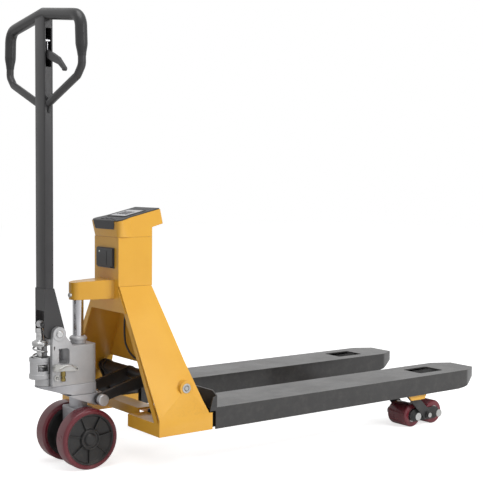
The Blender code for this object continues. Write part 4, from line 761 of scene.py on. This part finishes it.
def wheel(side_name, side):
    centre, size = middle(f"steer_tyre_{side_name}")
    r, half = size.z / 2, size.y / 2
    rim = r - 0.013
    body = f"wheel_{side_name}"
    tread = softened(((rim, -half), (r, -half), (r, half), (rim, half)), (0, 0.0075, 0.0075, 0), 8)
    groove = [(rim + 0.0035, half), (rim + 0.003, half - 0.0010), (rim + 0.0015, half - 0.0010), (rim + 0.001, half)]
    mirrored = [(a, -b) for a, b in reversed(groove)]
    outline = [tread[0], *mirrored, *tread[1:-1], *groove, tread[-1]]
    built(
        f"tyre_{side_name}", lambda bm: lathe(bm, outline, centre, "Y", 96), tyre_maroon, body,
        (f"steer_tyre_{side_name}",)
    )
    inner = rim - 0.0003
    hub_low, hub_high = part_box(f"steer_hub_{side_name}")
    cap = (hub_high.y if side > 0 else -hub_low.y) - side * centre.y
    face = half - 0.0015
    hub = (
        (0.0103, -half + 0.001), (0.026, -half + 0.001), (0.026, -0.009), (inner - 0.011, -0.007),
        (inner - 0.008, -half + 0.001), (inner, -half + 0.001), (inner, face), (inner - 0.0018, face + 0.0004),
        (inner - 0.0036, face), (inner - 0.0050, face - 0.0040), (inner - 0.0075, face - 0.0070),
        (0.0335, face - 0.0095),
        (0.0300, face - 0.0075), (0.0285, face - 0.0006), (0.0272, face + 0.0010), (0.0252, face + 0.0010),
        (0.0240, face - 0.0006),
        (0.0232, face - 0.0030), (0.0185, face - 0.0034), (0.0172, face - 0.0020), (0.0160, face + 0.0010),
        (0.0128, face + 0.0032),
        (0.0080, face + 0.0042), (0.0035, cap - 0.0001), (0, cap), (0, half - 0.008), (0.0103, half - 0.008),
    )
    profile = [(a, side * b) for a, b in hub]
    built(
        f"hub_{side_name}", lambda bm: lathe(bm, profile, centre, "Y", 72), hub_black, body, (f"steer_hub_{side_name}",)
    )

    def rib(bm):
        """One web: up is away from the axle, X is along it."""
        start, reach, root, half_web = 0.0285, inner - 0.0045, face - 0.0110, 0.0010
        side_view = (
            (root, start), (root, reach), (face - 0.0012, reach), (face - 0.0026, start + 0.006), (face - 0.0012, start)
        )
        extrude(bm, side_view, "Y", -half_web, half_web)

    web_count, rivet_ring = 7, 0.0255
    webs = [
        (centre, (math.cos(a), 0, math.sin(a))) for a in (2 * math.pi * (k + 0.2) / web_count for k in range(web_count))
    ]
    scattered(f"hub_ribs_{side_name}", rib, webs, hub_black, body, along=(0, side, 0))
    rivets = []
    for k in range(6):
        a = math.radians(30 + 60 * k)
        place = Vector((rivet_ring * math.cos(a), side * (face + 0.001), rivet_ring * math.sin(a)))
        rivets.append((centre + place, (0, side, 0)))
    scattered(f"hub_rivets_{side_name}", cap_head(0.0012, 0.0005), rivets, hub_black, body)


def end_discs(name, node, spot, r, segments, body):
    """Flush discs on both faces of a piece, where a pin ends in it."""
    proud, chamfer, sunk = 0.00024, 0.001, 0.001
    profile = ((0, -sunk), (r, -sunk), (r, proud / 2), (r - chamfer, proud), (0, proud))
    low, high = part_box(node)
    for face_name, edge, way in (("inner", low.y, -1), ("outer", high.y, 1)):
        disc = [(a, edge + way * b - spot.y) for a, b in profile]
        built(f"{name}_{face_name}", lambda bm: lathe(bm, disc, spot, "Y", segments), zinc, body)


def load_roller(place, side_name):
    node = f"load_roller_{place}_{side_name}"
    centre, size = middle(node)
    r, half = size.z / 2, size.y / 2
    profile = softened(((0.0215, -half), (r, -half), (r, half), (0.0215, half)), (0, 0.0075, 0.0075, 0), 6)
    body = f"roller_{place}_{side_name}"
    built(
        f"roller_tread_{place}_{side_name}", lambda bm: lathe(bm, profile, centre, "Y", 72), tyre_maroon, body, (node,)
    )
    rings = (
        (0.0083, -half + 0.001), (0.0130, -half + 0.001), (0.0135, -half + 0.002), (0.0150, -half + 0.002),
        (0.0155, -half + 0.0008), (0.0213, -half + 0.0008), (0.0213, half - 0.0008), (0.0155, half - 0.0008),
        (0.0150, half - 0.002), (0.0135, half - 0.002), (0.0130, half - 0.001), (0.0083, half - 0.001),
    )
    built(f"roller_core_{place}_{side_name}", lambda bm: lathe(bm, rings, centre, "Y", 48), zinc, body)
    bogie = f"bogie_{side_name}"
    end_discs(f"roller_end_{place}_{side_name}", bogie, centre, 0.0128, 32, f"bogie_body_{side_name}")
    if place == "rear":
        bogie_middle, _ = middle(bogie)
        spot = Vector((bogie_middle.x, centre.y, centre.z))
        end_discs(f"swing_bolt_{side_name}", f"roller_frame_{side_name}", spot, 0.0078, 28, f"swing_{side_name}")


# ---------------------------------------------------------------- pump


def spring_coil():
    """The pump's return spring, with closed ends ground flat."""
    low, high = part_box("pump_spring")
    x = (low.x + high.x) / 2
    wire = 0.0026
    radius = (high.x - low.x) / 2 - wire
    bottom, top = low.z + wire, high.z - wire
    guide = bpy.data.meshes.new("return_spring_guide")
    made = grown(
        "return_spring",
        spring_tree(zinc),
        {"Turns": 4.0, "Coil Radius": radius, "Wire Radius": wire, "Height": top - bottom, "Foot": (x, 0.0, bottom)},
        guide,
        zinc,
        "pump",
    )
    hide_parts("pump_spring")
    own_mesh(made)
    return made


def release_arm():
    """The lowering lever: a hexagon on its spindle and a cranked round arm, tapering to a hooked end."""
    low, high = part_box("release_lever")
    hub = Vector((low.x + 0.0100, high.y - 0.0100, 0.2890))
    route = (
        (hub.x, hub.z), (hub.x + 0.011, hub.z - 0.0035), (hub.x + 0.021, hub.z + 0.0005),
        (hub.x + 0.033, hub.z + 0.0040),
        (hub.x + 0.045, hub.z + 0.0015), (hub.x + 0.056, hub.z - 0.0060), (hub.x + 0.0625, hub.z - 0.0125),
    )

    def arm(bm):
        centre_y = high.y - 0.0135
        path = smooth_path([(x, centre_y, z) for x, z in route], 6)
        count = len(path) - 1
        sweep(bm, path, lambda i: 0.0046 - 0.0016 * i / count, 14)
        lathe(
            bm, ((0, 0.0125), (0.0040, 0.0125), (0.0040, 0.003), (0, 0.003)), (hub.x, high.y - 0.0125, hub.z), "Y", 20
        )
        lathe(
            bm,
            (
                (0, 0.0040), (0.0078, 0.0040), (0.0078, -0.0015), (0.0066, -0.0027), (0.0030, -0.0027),
                (0.0028, -0.0036), (0, -0.0036)
            ),
            (hub.x, centre_y, hub.z), "Y", 6
        )

    built("lowering_arm", arm, zinc, "valve", ("release_lever",), smooth=50)


def pump_fittings():
    low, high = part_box("ram_rod")
    centre, size = middle("ram_rod")
    r = size.x / 2
    rod = [(0, low.z), (r - 0.001, low.z), (r, low.z + 0.001), (r, high.z), (0, high.z)]
    built("ram", lambda bm: lathe(bm, rod, (centre.x, centre.y, 0), "Z", 64), chrome, "frame", ("ram_rod",))
    low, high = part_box("gland_nut")
    centre, size = middle("gland_nut")
    r = size.x / 2
    bore, neck = r - 0.0092, r - 0.003
    nut = [
        (bore, low.z), (neck, low.z), (neck, high.z - 0.0105), (r - 0.0006, high.z - 0.0105), (r, high.z - 0.0099),
        (r, high.z - 0.0046),
        (r - 0.0008, high.z - 0.0040), (r - 0.0035, high.z - 0.0006), (r - 0.0045, high.z), (bore + 0.0012, high.z),
        (bore, high.z - 0.0010),
    ]
    built("gland", lambda bm: lathe(bm, nut, (centre.x, centre.y, 0), "Z", 64), cast_silver, "pump", ("gland_nut",))
    plunger_centre, plunger_size = middle("pump_plunger")
    x = plunger_centre.x
    low_p, high_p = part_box("pump_plunger")
    cap_r = plunger_size.x / 2
    cap = [
        (0, low_p.z), (0.009, low_p.z), (0.009, high_p.z - 0.0445), (cap_r, high_p.z - 0.0445),
        (cap_r, high_p.z - 0.0395),
        (cap_r - 0.0012, high_p.z - 0.0380), (cap_r - 0.006, high_p.z - 0.0350), (0.0125, high_p.z - 0.0335),
        (0.0110, high_p.z - 0.031),
        (0.0103, high_p.z - 0.016), (0.0110, high_p.z - 0.013), (0.0103, high_p.z - 0.010), (0.0100, high_p.z - 0.003),
        (0.0085, high_p.z - 0.0006), (0.0060, high_p.z), (0, high_p.z),
    ]
    built("plunger", lambda bm: lathe(bm, cap, (x, 0, 0), "Z", 48), zinc, "plunger", ("pump_plunger",))
    casting_low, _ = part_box("pump_casting")
    face = casting_low.y
    eye_place = (-0.0838, face, 0.2603)
    plug = [
        (0, 0.0), (0.0052, 0.0), (0.0064, 0.0015), (0.0064, 0.0085), (0.0050, 0.0095), (0.0050, 0.0135),
        (0.0066, 0.0145), (0.0066, 0.0235), (0.0058, 0.0270), (0.0030, 0.0292), (0, 0.0296)
    ]
    built("drain_fitting", lambda bm: lathe(bm, plug, (-0.0640, face - 0.0012, 0.2495), "Z", 28), brass, "pump")
    eye = softened(
        (
            (0.0030, 0.0020), (0.0085, 0.0020), (0.0085, -0.0038), (0.0052, -0.0038), (0.0046, -0.0018),
            (0.0030, -0.0018)
        ),
        (0, 0, 0.0008, 0.0008, 0, 0), 2
    )
    built("eye_bolt", lambda bm: lathe(bm, eye, eye_place, "Y", 32), zinc, "pump")
    pin = ((0, 0.002), (0.0026, 0.002), (0.0026, -0.0032), (0.0018, -0.0044), (0, -0.0044))
    built("eye_pin", lambda bm: lathe(bm, pin, eye_place, "Y", 20), zinc, "pump")
    _, plate_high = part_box("thrust_plate")
    bolt_place = Vector((0.050, -0.028, plate_high.z))
    scattered("plate_bolt", hex_head(0.0085, 0.0065), [(bolt_place, (0, 0, 1))], zinc, BODY_OF["thrust_plate"])
    release_arm()


# ---------------------------------------------------------------- handle


def handle_parts():
    low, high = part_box("grip_bow")
    x = (low.x + high.x) / 2
    r = 0.0157
    top = high.z - r
    half = (high.y - low.y) / 2 - r
    bottom = low.z
    route = softened(
        (
            (half - 0.0005, bottom),
            (half - 0.0012, bottom + 0.022),
            (half - 0.0025, bottom + 0.043),
            (half - 0.0060, bottom + 0.1040),
            (half - 0.0500, bottom + 0.1110),
            (0, top),
        ),
        (0, 0, 0.10, 0.036, 0.060, 0),
        10,
    )
    route[0] = (half - 0.0002, bottom + 0.0006)
    bow_half = [(x, y, z) for y, z in route]
    path = bow_half + [(x, -y, z) for x, y, z in reversed(bow_half[:-1])]
    taper, thin = 0.034, 0.0112

    def thickness(i):
        rise = max(0.0, min(1.0, (path[i][2] - bottom) / taper))
        return thin + (r - thin) * rise * rise * (3 - 2 * rise)

    fine = [path[0]]
    for a, b in zip(path, path[1:]):
        pieces = 6 if min(a[2], b[2]) < bottom + taper else 1
        fine += [tuple(Vector(a).lerp(Vector(b), k / pieces)) for k in range(1, pieces + 1)]
    path = fine
    built("grip", lambda bm: sweep(bm, path, thickness, 28), grip_black, "handle", ("grip_bow",), smooth=60)
    for side_name, side in SIDES:
        _, tube_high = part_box(f"loop_tube_{side_name}")
        tube_r = 0.0104
        run = softened(
            (
                (0.0288, 1.0105), (0.192, 1.0725), (half + 0.0006, 1.098), (half, tube_high.z - 0.0001),
            ),
            (0, 0.022, 0.022, 0),
            8,
        )
        tube = [(x, side * y, z) for y, z in run]
        built(
            f"lower_tube_{side_name}", lambda bm: sweep(bm, tube, tube_r, 24), handle_black, "handle",
            (f"loop_tube_{side_name}",), smooth=60
        )
        turn = [2 * math.pi * k / 20 for k in range(21)]
        ring = [(x + 0.0108 * math.cos(a), side * 0.0290, 1.0112 + 0.0113 * math.sin(a)) for a in turn]
        weld_bead(f"tube_weld_{side_name}", ring, "handle", handle_black, 0.0016)
    shaft_low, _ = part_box("handle_shaft")
    near = shaft_low.y

    def gusset(bm):
        web = (
            (near + 0.001, 0.9830), (near - 0.0025, 0.9840), (near - 0.0075, 1.0000), (near - 0.0075, 1.0130),
            (near + 0.001, 1.0330)
        )
        extrude(bm, web, "X", x - 0.0030, x + 0.0030)
        fan = softened(
            ((x - 0.0040, 0.9860), (x + 0.0040, 0.9860), (x + 0.0105, 1.0300), (x - 0.0105, 1.0300)), (0.002,) * 4, 3
        )
        turn_low = [bm.verts.new((a, near - 0.0022, b)) for a, b in fan]
        turn_high = [bm.verts.new((a, near + 0.0010, b)) for a, b in fan]
        bm.faces.new(turn_low)
        bm.faces.new(list(reversed(turn_high)))
        for i in range(len(fan)):
            j = (i + 1) % len(fan)
            bm.faces.new((turn_low[i], turn_high[i], turn_high[j], turn_low[j]))

    for mirror_name, mirror in SIDES:

        def mirrored_gusset(bm):
            gusset(bm)
            for v in bm.verts:
                v.co.y *= -mirror

        built(f"tube_gusset_{mirror_name}", mirrored_gusset, grip_black, "handle", bevel=0.0008)

    def trigger_link(bm):
        """Bright joint of the control rod, seen in the slot."""
        sweep(bm, ((x, near + 0.0075, 1.1480), (x, near + 0.0075, 1.1760)), 0.0024, 12)
        lathe(bm, ((0, -0.0065), (0.0042, -0.0065), (0.0042, 0.0065), (0, 0.0065)), (x, near + 0.0075, 1.1790), "X", 20)

    built("trigger_link", trigger_link, chrome, "handle", smooth=50)
    saddle = [(shaft_low.x + 0.001, y, top - r * 0.62 - abs(y) * 0.125) for y in (-0.026, -0.013, 0, 0.013, 0.026)]
    weld_bead("saddle_weld_front", saddle, "handle", handle_black, 0.0018)


# ---------------------------------------------------------------- head, printer, mast


def slope_frame():
    """A point on the display panel's front edge, the way up its slope, and its outward normal."""
    low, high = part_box("display_window")
    rise = high.z - low.z
    run = high.x - low.x
    angle = math.atan2(rise - 0.0012, run)
    along = Vector((math.cos(angle), 0, math.sin(angle)))
    out = Vector((-math.sin(angle), 0, math.cos(angle)))
    start = Vector((low.x, 0, high.z - run * math.tan(angle)))
    return start, along, out


SEGMENTS = {
    "0": "abcdef", "1": "bc", "2": "abged", "3": "abgcd", "4": "fgbc", "5": "afgcd", "6": "afgedc", "7": "abc",
    "8": "abcdefg", "9": "abcdfg",
}


def numeral(bm, digit, origin, right, up, out, width, height):
    """Seven-bar numeral lying on the window."""
    bar = width * 0.16
    spots = {
        "a": ((0, 1), (1, 1)), "b": ((1, 0.5), (1, 1)), "c": ((1, 0), (1, 0.5)), "d": ((0, 0), (1, 0)),
        "e": ((0, 0), (0, 0.5)), "f": ((0, 0.5), (0, 1)), "g": ((0, 0.5), (1, 0.5)),
    }
    for name in SEGMENTS[digit]:
        (x0, y0), (x1, y1) = spots[name]
        a = origin + right * x0 * width + up * y0 * height
        b = origin + right * x1 * width + up * y1 * height
        way = (b - a).normalized()
        side = way.cross(out).normalized() * bar / 2
        a, b = a + way * bar * 0.65, b - way * bar * 0.65
        lift = out * 0.0002
        ring = [a + side, a - way * bar * 0.45, a - side, b - side, b + way * bar * 0.45, b + side]
        low = [bm.verts.new(p - lift) for p in ring]
        high = [bm.verts.new(p + lift) for p in ring]
        bm.faces.new(low)
        bm.faces.new(list(reversed(high)))
        for i in range(6):
            j = (i + 1) % 6
            bm.faces.new((low[i], high[i], high[j], low[j]))


def head_parts():
    start, along, out = slope_frame()
    low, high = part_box("display_window")
    depth = (high.x - low.x) / along.x
    right = Vector((0, -1, 0))

    def digits(bm):
        for k, digit in enumerate("0000"):
            origin = start + along * depth * 0.26 + Vector((0, 0.030 - 0.0155 * k, 0)) + out * 0.0002
            numeral(bm, digit, origin, right, along, out, 0.0095, depth * 0.42)

    built("display_numerals", digits, panel_grey, "frame", smooth=20)

    def bezel(bm):
        rim = 0.0035
        y0, y1 = low.y - rim, high.y + rim
        outer = softened(((-rim, y0), (depth + rim, y0), (depth + rim, y1), (-rim, y1)), (0.004,) * 4, 4)
        lap = 0.0005
        y2, y3 = low.y + lap, high.y - lap
        inner = softened(((lap, y2), (depth - lap, y2), (depth - lap, y3), (lap, y3)), (0.002,) * 4, 4)
        rings = []
        for points, lift in ((outer, -0.0014), (outer, 0.0002), (inner, 0.0006), (inner, -0.0010)):
            rings.append([bm.verts.new(start + along * a + Vector((0, y, 0)) + out * lift) for a, y in points])
        count = len(outer)
        for k in range(4):
            first, second = rings[k], rings[(k + 1) % 4]
            for i in range(count):
                j = (i + 1) % count
                bm.faces.new((first[i], first[j], second[j], second[i]))

    built("display_bezel", bezel, panel_grey, "frame")
    door_low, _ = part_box("printer_door")
    face = door_low.x
    # A thin black strip on the door face: painted shade of the door's seam gap.
    seam = ((-0.0140, 0.5620), (-0.0134, 0.5620), (-0.0134, 0.6040), (-0.0140, 0.6040))
    built("printer_seam", lambda bm: extrude(bm, seam, "X", face - 0.0002, face + 0.001), cable_black, "door")
    lamp = softened(((0.0255, 0.5995), (0.0285, 0.5995), (0.0285, 0.6025), (0.0255, 0.6025)), (0.0006,) * 4, 2)
    built("printer_lamp", lambda bm: extrude(bm, lamp, "X", face - 0.0004, face + 0.001), lamp_lit, "door")


def mast_parts():
    arm_low, arm_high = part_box("lift_arm")
    column_low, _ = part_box("mast_column")
    bolt = (
        (0, 0.002), (0.0070, 0.002), (0.0070, -0.0030), (0.0060, -0.0042), (0.0035, -0.0042), (0.0030, -0.0020),
        (0, -0.0020)
    )
    bolt_place = (arm_low.x - 0.0005, -0.003, 0.482)
    built("arm_bolt", lambda bm: lathe(bm, bolt, bolt_place, "X", 24), zinc, "frame")
    cover_low, cover_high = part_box("battery_cover")
    inset = 0.008
    corners = [
        (Vector((cover_high.x, y, z)), (1, 0, 0))
        for y in (cover_low.y + inset, cover_high.y - inset)
        for z in (cover_low.z + inset, cover_high.z - inset)
    ]
    scattered("battery_screws", cap_head(0.0028, 0.0016), corners, zinc, "frame")
    half, seam = arm_high.y, column_low.x - 0.0008
    levels = (arm_low.z + 0.0012, arm_high.z - 0.004)
    for level in levels:
        across = [(seam, y, level) for y in (-half + 0.002, 0, half - 0.002)]
        weld_bead(f"arm_weld_{int(level * 1000)}", across, "frame", orange, 0.0028)
    for side_name, side in SIDES:
        upright = [(seam, side * (half - 0.0008), z) for z in (arm_low.z + 0.001, arm_high.z - 0.004)]
        weld_bead(f"arm_side_weld_{side_name}", upright, "frame", orange, 0.0028)
        slant = [(0.1045, side * y, z) for y, z in ((0.0600, 0.500), (0.1040, 0.434))]
        weld_bead(f"apron_weld_{side_name}", slant, "frame", orange, 0.0022)
    _, rocker_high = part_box("rocker")
    shaft_middle = Vector((0.210, 0, 0.232))
    disc = (
        (0, -0.003), (0.0136, -0.003), (0.0136, -0.0006), (0.0126, 0.0002), (0.0085, 0.0003),
        (0.0078, -0.0004), (0.0062, -0.0004), (0.0056, 0.0004), (0, 0.0004),
    )
    for side_name, side in SIDES:
        tip = [(a, side * (rocker_high.y + 0.0004 + b)) for a, b in disc]
        built(f"shaft_end_{side_name}", lambda bm: lathe(bm, tip, shaft_middle, "Y", 40), zinc, "rocker_body")


# ---------------------------------------------------------------- assembly


def beam_black_above_rail(side_name):
    """The fork's inner rails: black inside the fork, with the tabs that show below it in orange."""
    rail_low = 0.1185
    made = finished(f"fork_beam_{side_name}", fork_black, 0.0)
    made.data.materials.append(orange)
    bm = bmesh.new()
    bm.from_mesh(made.data)
    everything = list(bm.verts) + list(bm.edges) + list(bm.faces)
    bmesh.ops.bisect_plane(bm, geom=everything, plane_co=(0, 0, rail_low), plane_no=(0, 0, 1))
    for face in bm.faces:
        face.material_index = 1 if face.calc_center_median().z < rail_low else 0
    bm.to_mesh(made.data)
    bm.free()


def dress():
    for side_name, side in SIDES:
        wheel(side_name, side)
        for place in ("front", "rear"):
            load_roller(place, side_name)
    spring_coil()
    pump_fittings()
    handle_parts()
    head_parts()
    mast_parts()
    finished("mast_column", orange, 0.0012)
    finished("lift_arm", orange, 0.0115, 6, 60)
    finished("head_housing", orange, 0.0016, 3)
    finished("cross_beam", orange, 0.0012)
    for side_name, _ in SIDES:
        finished(f"side_plate_{side_name}", orange, 0.0012)
        beam_black_above_rail(side_name)
        finished(f"fork_cover_{side_name}", fork_black, 0.0034, 4, 50)
        finished(f"roller_frame_{side_name}", dark_steel, 0.0006)
        finished(f"bogie_{side_name}", dark_steel, 0.0005)
        finished(f"push_rod_{side_name}", dark_steel, 0.0008)
        for place in ("heel", "tip"):
            finished(f"load_cell_{place}_{side_name}", cell_alloy, 0.0006)
    for node, finish, width in (
        ("thrust_plate", plate_grey, 0.0012), ("pump_base", plate_grey, 0.0020), ("pump_casting", cast_silver, 0.0020),
        ("pump_cylinder", cast_silver, 0.0008), ("steering_stem", plate_grey, 0.0015), ("release_lever", zinc, 0.0006),
        ("handle_bracket", handle_black, 0.0008), ("handle_shaft", handle_black, 0.0010),
        ("control_lever", handle_black, 0.0016),
        ("display_panel", panel_grey, 0.0008), ("display_window", display_field, 0.0003),
        ("printer_case", panel_grey, 0.0006),
        ("printer_door", panel_grey, 0.0006), ("battery_cover", fork_black, 0.0010), ("key_left", key_grey, 0.0006),
        ("key_middle", key_grey, 0.0006), ("key_right", key_grey, 0.0006), ("rocker", dark_steel, 0.0006),
        ("thrust_pin", cast_silver, 0.0008), ("thrust_bearing", dark_steel, 0.0005), ("wheel_axle", zinc, 0.0008),
        ("handle_pin", zinc, 0.0008), ("pressing_roller", cast_silver, 0.0004), ("control_rod", zinc, 0.0),
    ):
        finished(node, finish, width)
    painted("load_cell_cable", cable_black)


# ---------------------------------------------------------------- floor, light, camera


def floor():
    mesh = bpy.data.meshes.new("floor")
    size = 14.0
    mesh.from_pydata([(-size, -size, 0), (size, -size, 0), (size, size, 0), (-size, size, 0)], [], [(0, 1, 2, 3)])
    made = bpy.data.objects.new("floor", mesh)
    bpy.context.scene.collection.objects.link(made)
    finish = bpy.data.materials.new("pale floor")
    finish.use_nodes = True
    shader = finish.node_tree.nodes["Principled BSDF"]
    shader.inputs["Base Color"].default_value = (0.86, 0.86, 0.86, 1.0)
    shader.inputs["Emission Color"].default_value = (1.0, 1.0, 1.0, 1.0)
    tree = finish.node_tree
    seen = put(tree, "ShaderNodeLightPath").outputs["Is Camera Ray"]
    tree.links.new(
        math_node(tree, "ADD", math_node(tree, "MULTIPLY", seen, 0.62), 0.10), shader.inputs["Emission Strength"]
    )
    shader.inputs["Roughness"].default_value = 0.9
    shader.inputs["Specular IOR Level"].default_value = 0.2
    mesh.materials.append(finish)


def softbox(name, place, aim, size, power, gloss=True):
    data = bpy.data.lights.new(name, "AREA")
    data.shape = "RECTANGLE"
    data.size, data.size_y = size
    data.energy = power
    made = bpy.data.objects.new(name, data)
    bpy.context.scene.collection.objects.link(made)
    made.visible_glossy = gloss
    made.location = place
    made.rotation_euler = (Vector(aim) - Vector(place)).to_track_quat("-Z", "Y").to_euler()


def lights():
    """Even white room with one broad key from the front right, which leaves the insides dark."""
    bpy.context.scene.view_settings.view_transform = "Standard"
    bpy.context.scene.view_settings.look = "None"
    world = bpy.data.worlds.new("studio")
    bpy.context.scene.world = world
    world.use_nodes = True
    sky = world.node_tree.nodes["Background"]
    sky.inputs[0].default_value = (1.0, 1.0, 1.0, 1.0)
    sky.inputs[1].default_value = 0.30
    backdrop = put(world.node_tree, "ShaderNodeBackground", None, Color=(1.0, 1.0, 1.0, 1.0), Strength=1.0)
    path = put(world.node_tree, "ShaderNodeLightPath")
    glossy = math_node(world.node_tree, "MULTIPLY", path.outputs["Is Glossy Ray"], 0.55)
    seen = math_node(world.node_tree, "MAXIMUM", path.outputs["Is Camera Ray"], glossy)
    both = put(world.node_tree, "ShaderNodeMixShader", None, i0=seen, i1=sky.outputs[0], i2=backdrop.outputs[0])
    world.node_tree.links.new(both.outputs[0], world.node_tree.nodes["World Output"].inputs[0])
    softbox("key", (2.2, -3.6, 2.6), (0.2, 0, 0.4), (2.4, 2.4), 112, gloss=False)
    softbox("glint", (1.4, -3.3, 1.9), (0.1, 0, 0.5), (0.6, 1.8), 13)
    softbox("top", (-0.4, -0.6, 3.8), (0.4, 0, 0.2), (2.2, 2.2), 40)


def camera():
    yaw, pitch, roll = math.radians(53.337), math.radians(-3.83), math.radians(0.483)
    ahead = Vector((math.cos(yaw) * math.cos(pitch), math.sin(yaw) * math.cos(pitch), math.sin(pitch)))
    level = Vector((math.sin(yaw), -math.cos(yaw), 0))
    above = level.cross(ahead)
    right = level * math.cos(roll) + above * math.sin(roll)
    up = above * math.cos(roll) - level * math.sin(roll)
    data = bpy.data.cameras.new("camera")
    data.sensor_width = 36.0
    data.lens = 77.25
    data.shift_x = 0.0138
    data.shift_y = 0.0244
    made = bpy.data.objects.new("camera", data)
    bpy.context.scene.collection.objects.link(made)
    made.matrix_world = Matrix.Translation(
        (-1.3762, -2.5954, 0.7997)
    ) @ Matrix((right, up, -ahead)).transposed().to_4x4()
    bpy.context.scene.camera = made


dress()
floor()
lights()
camera()
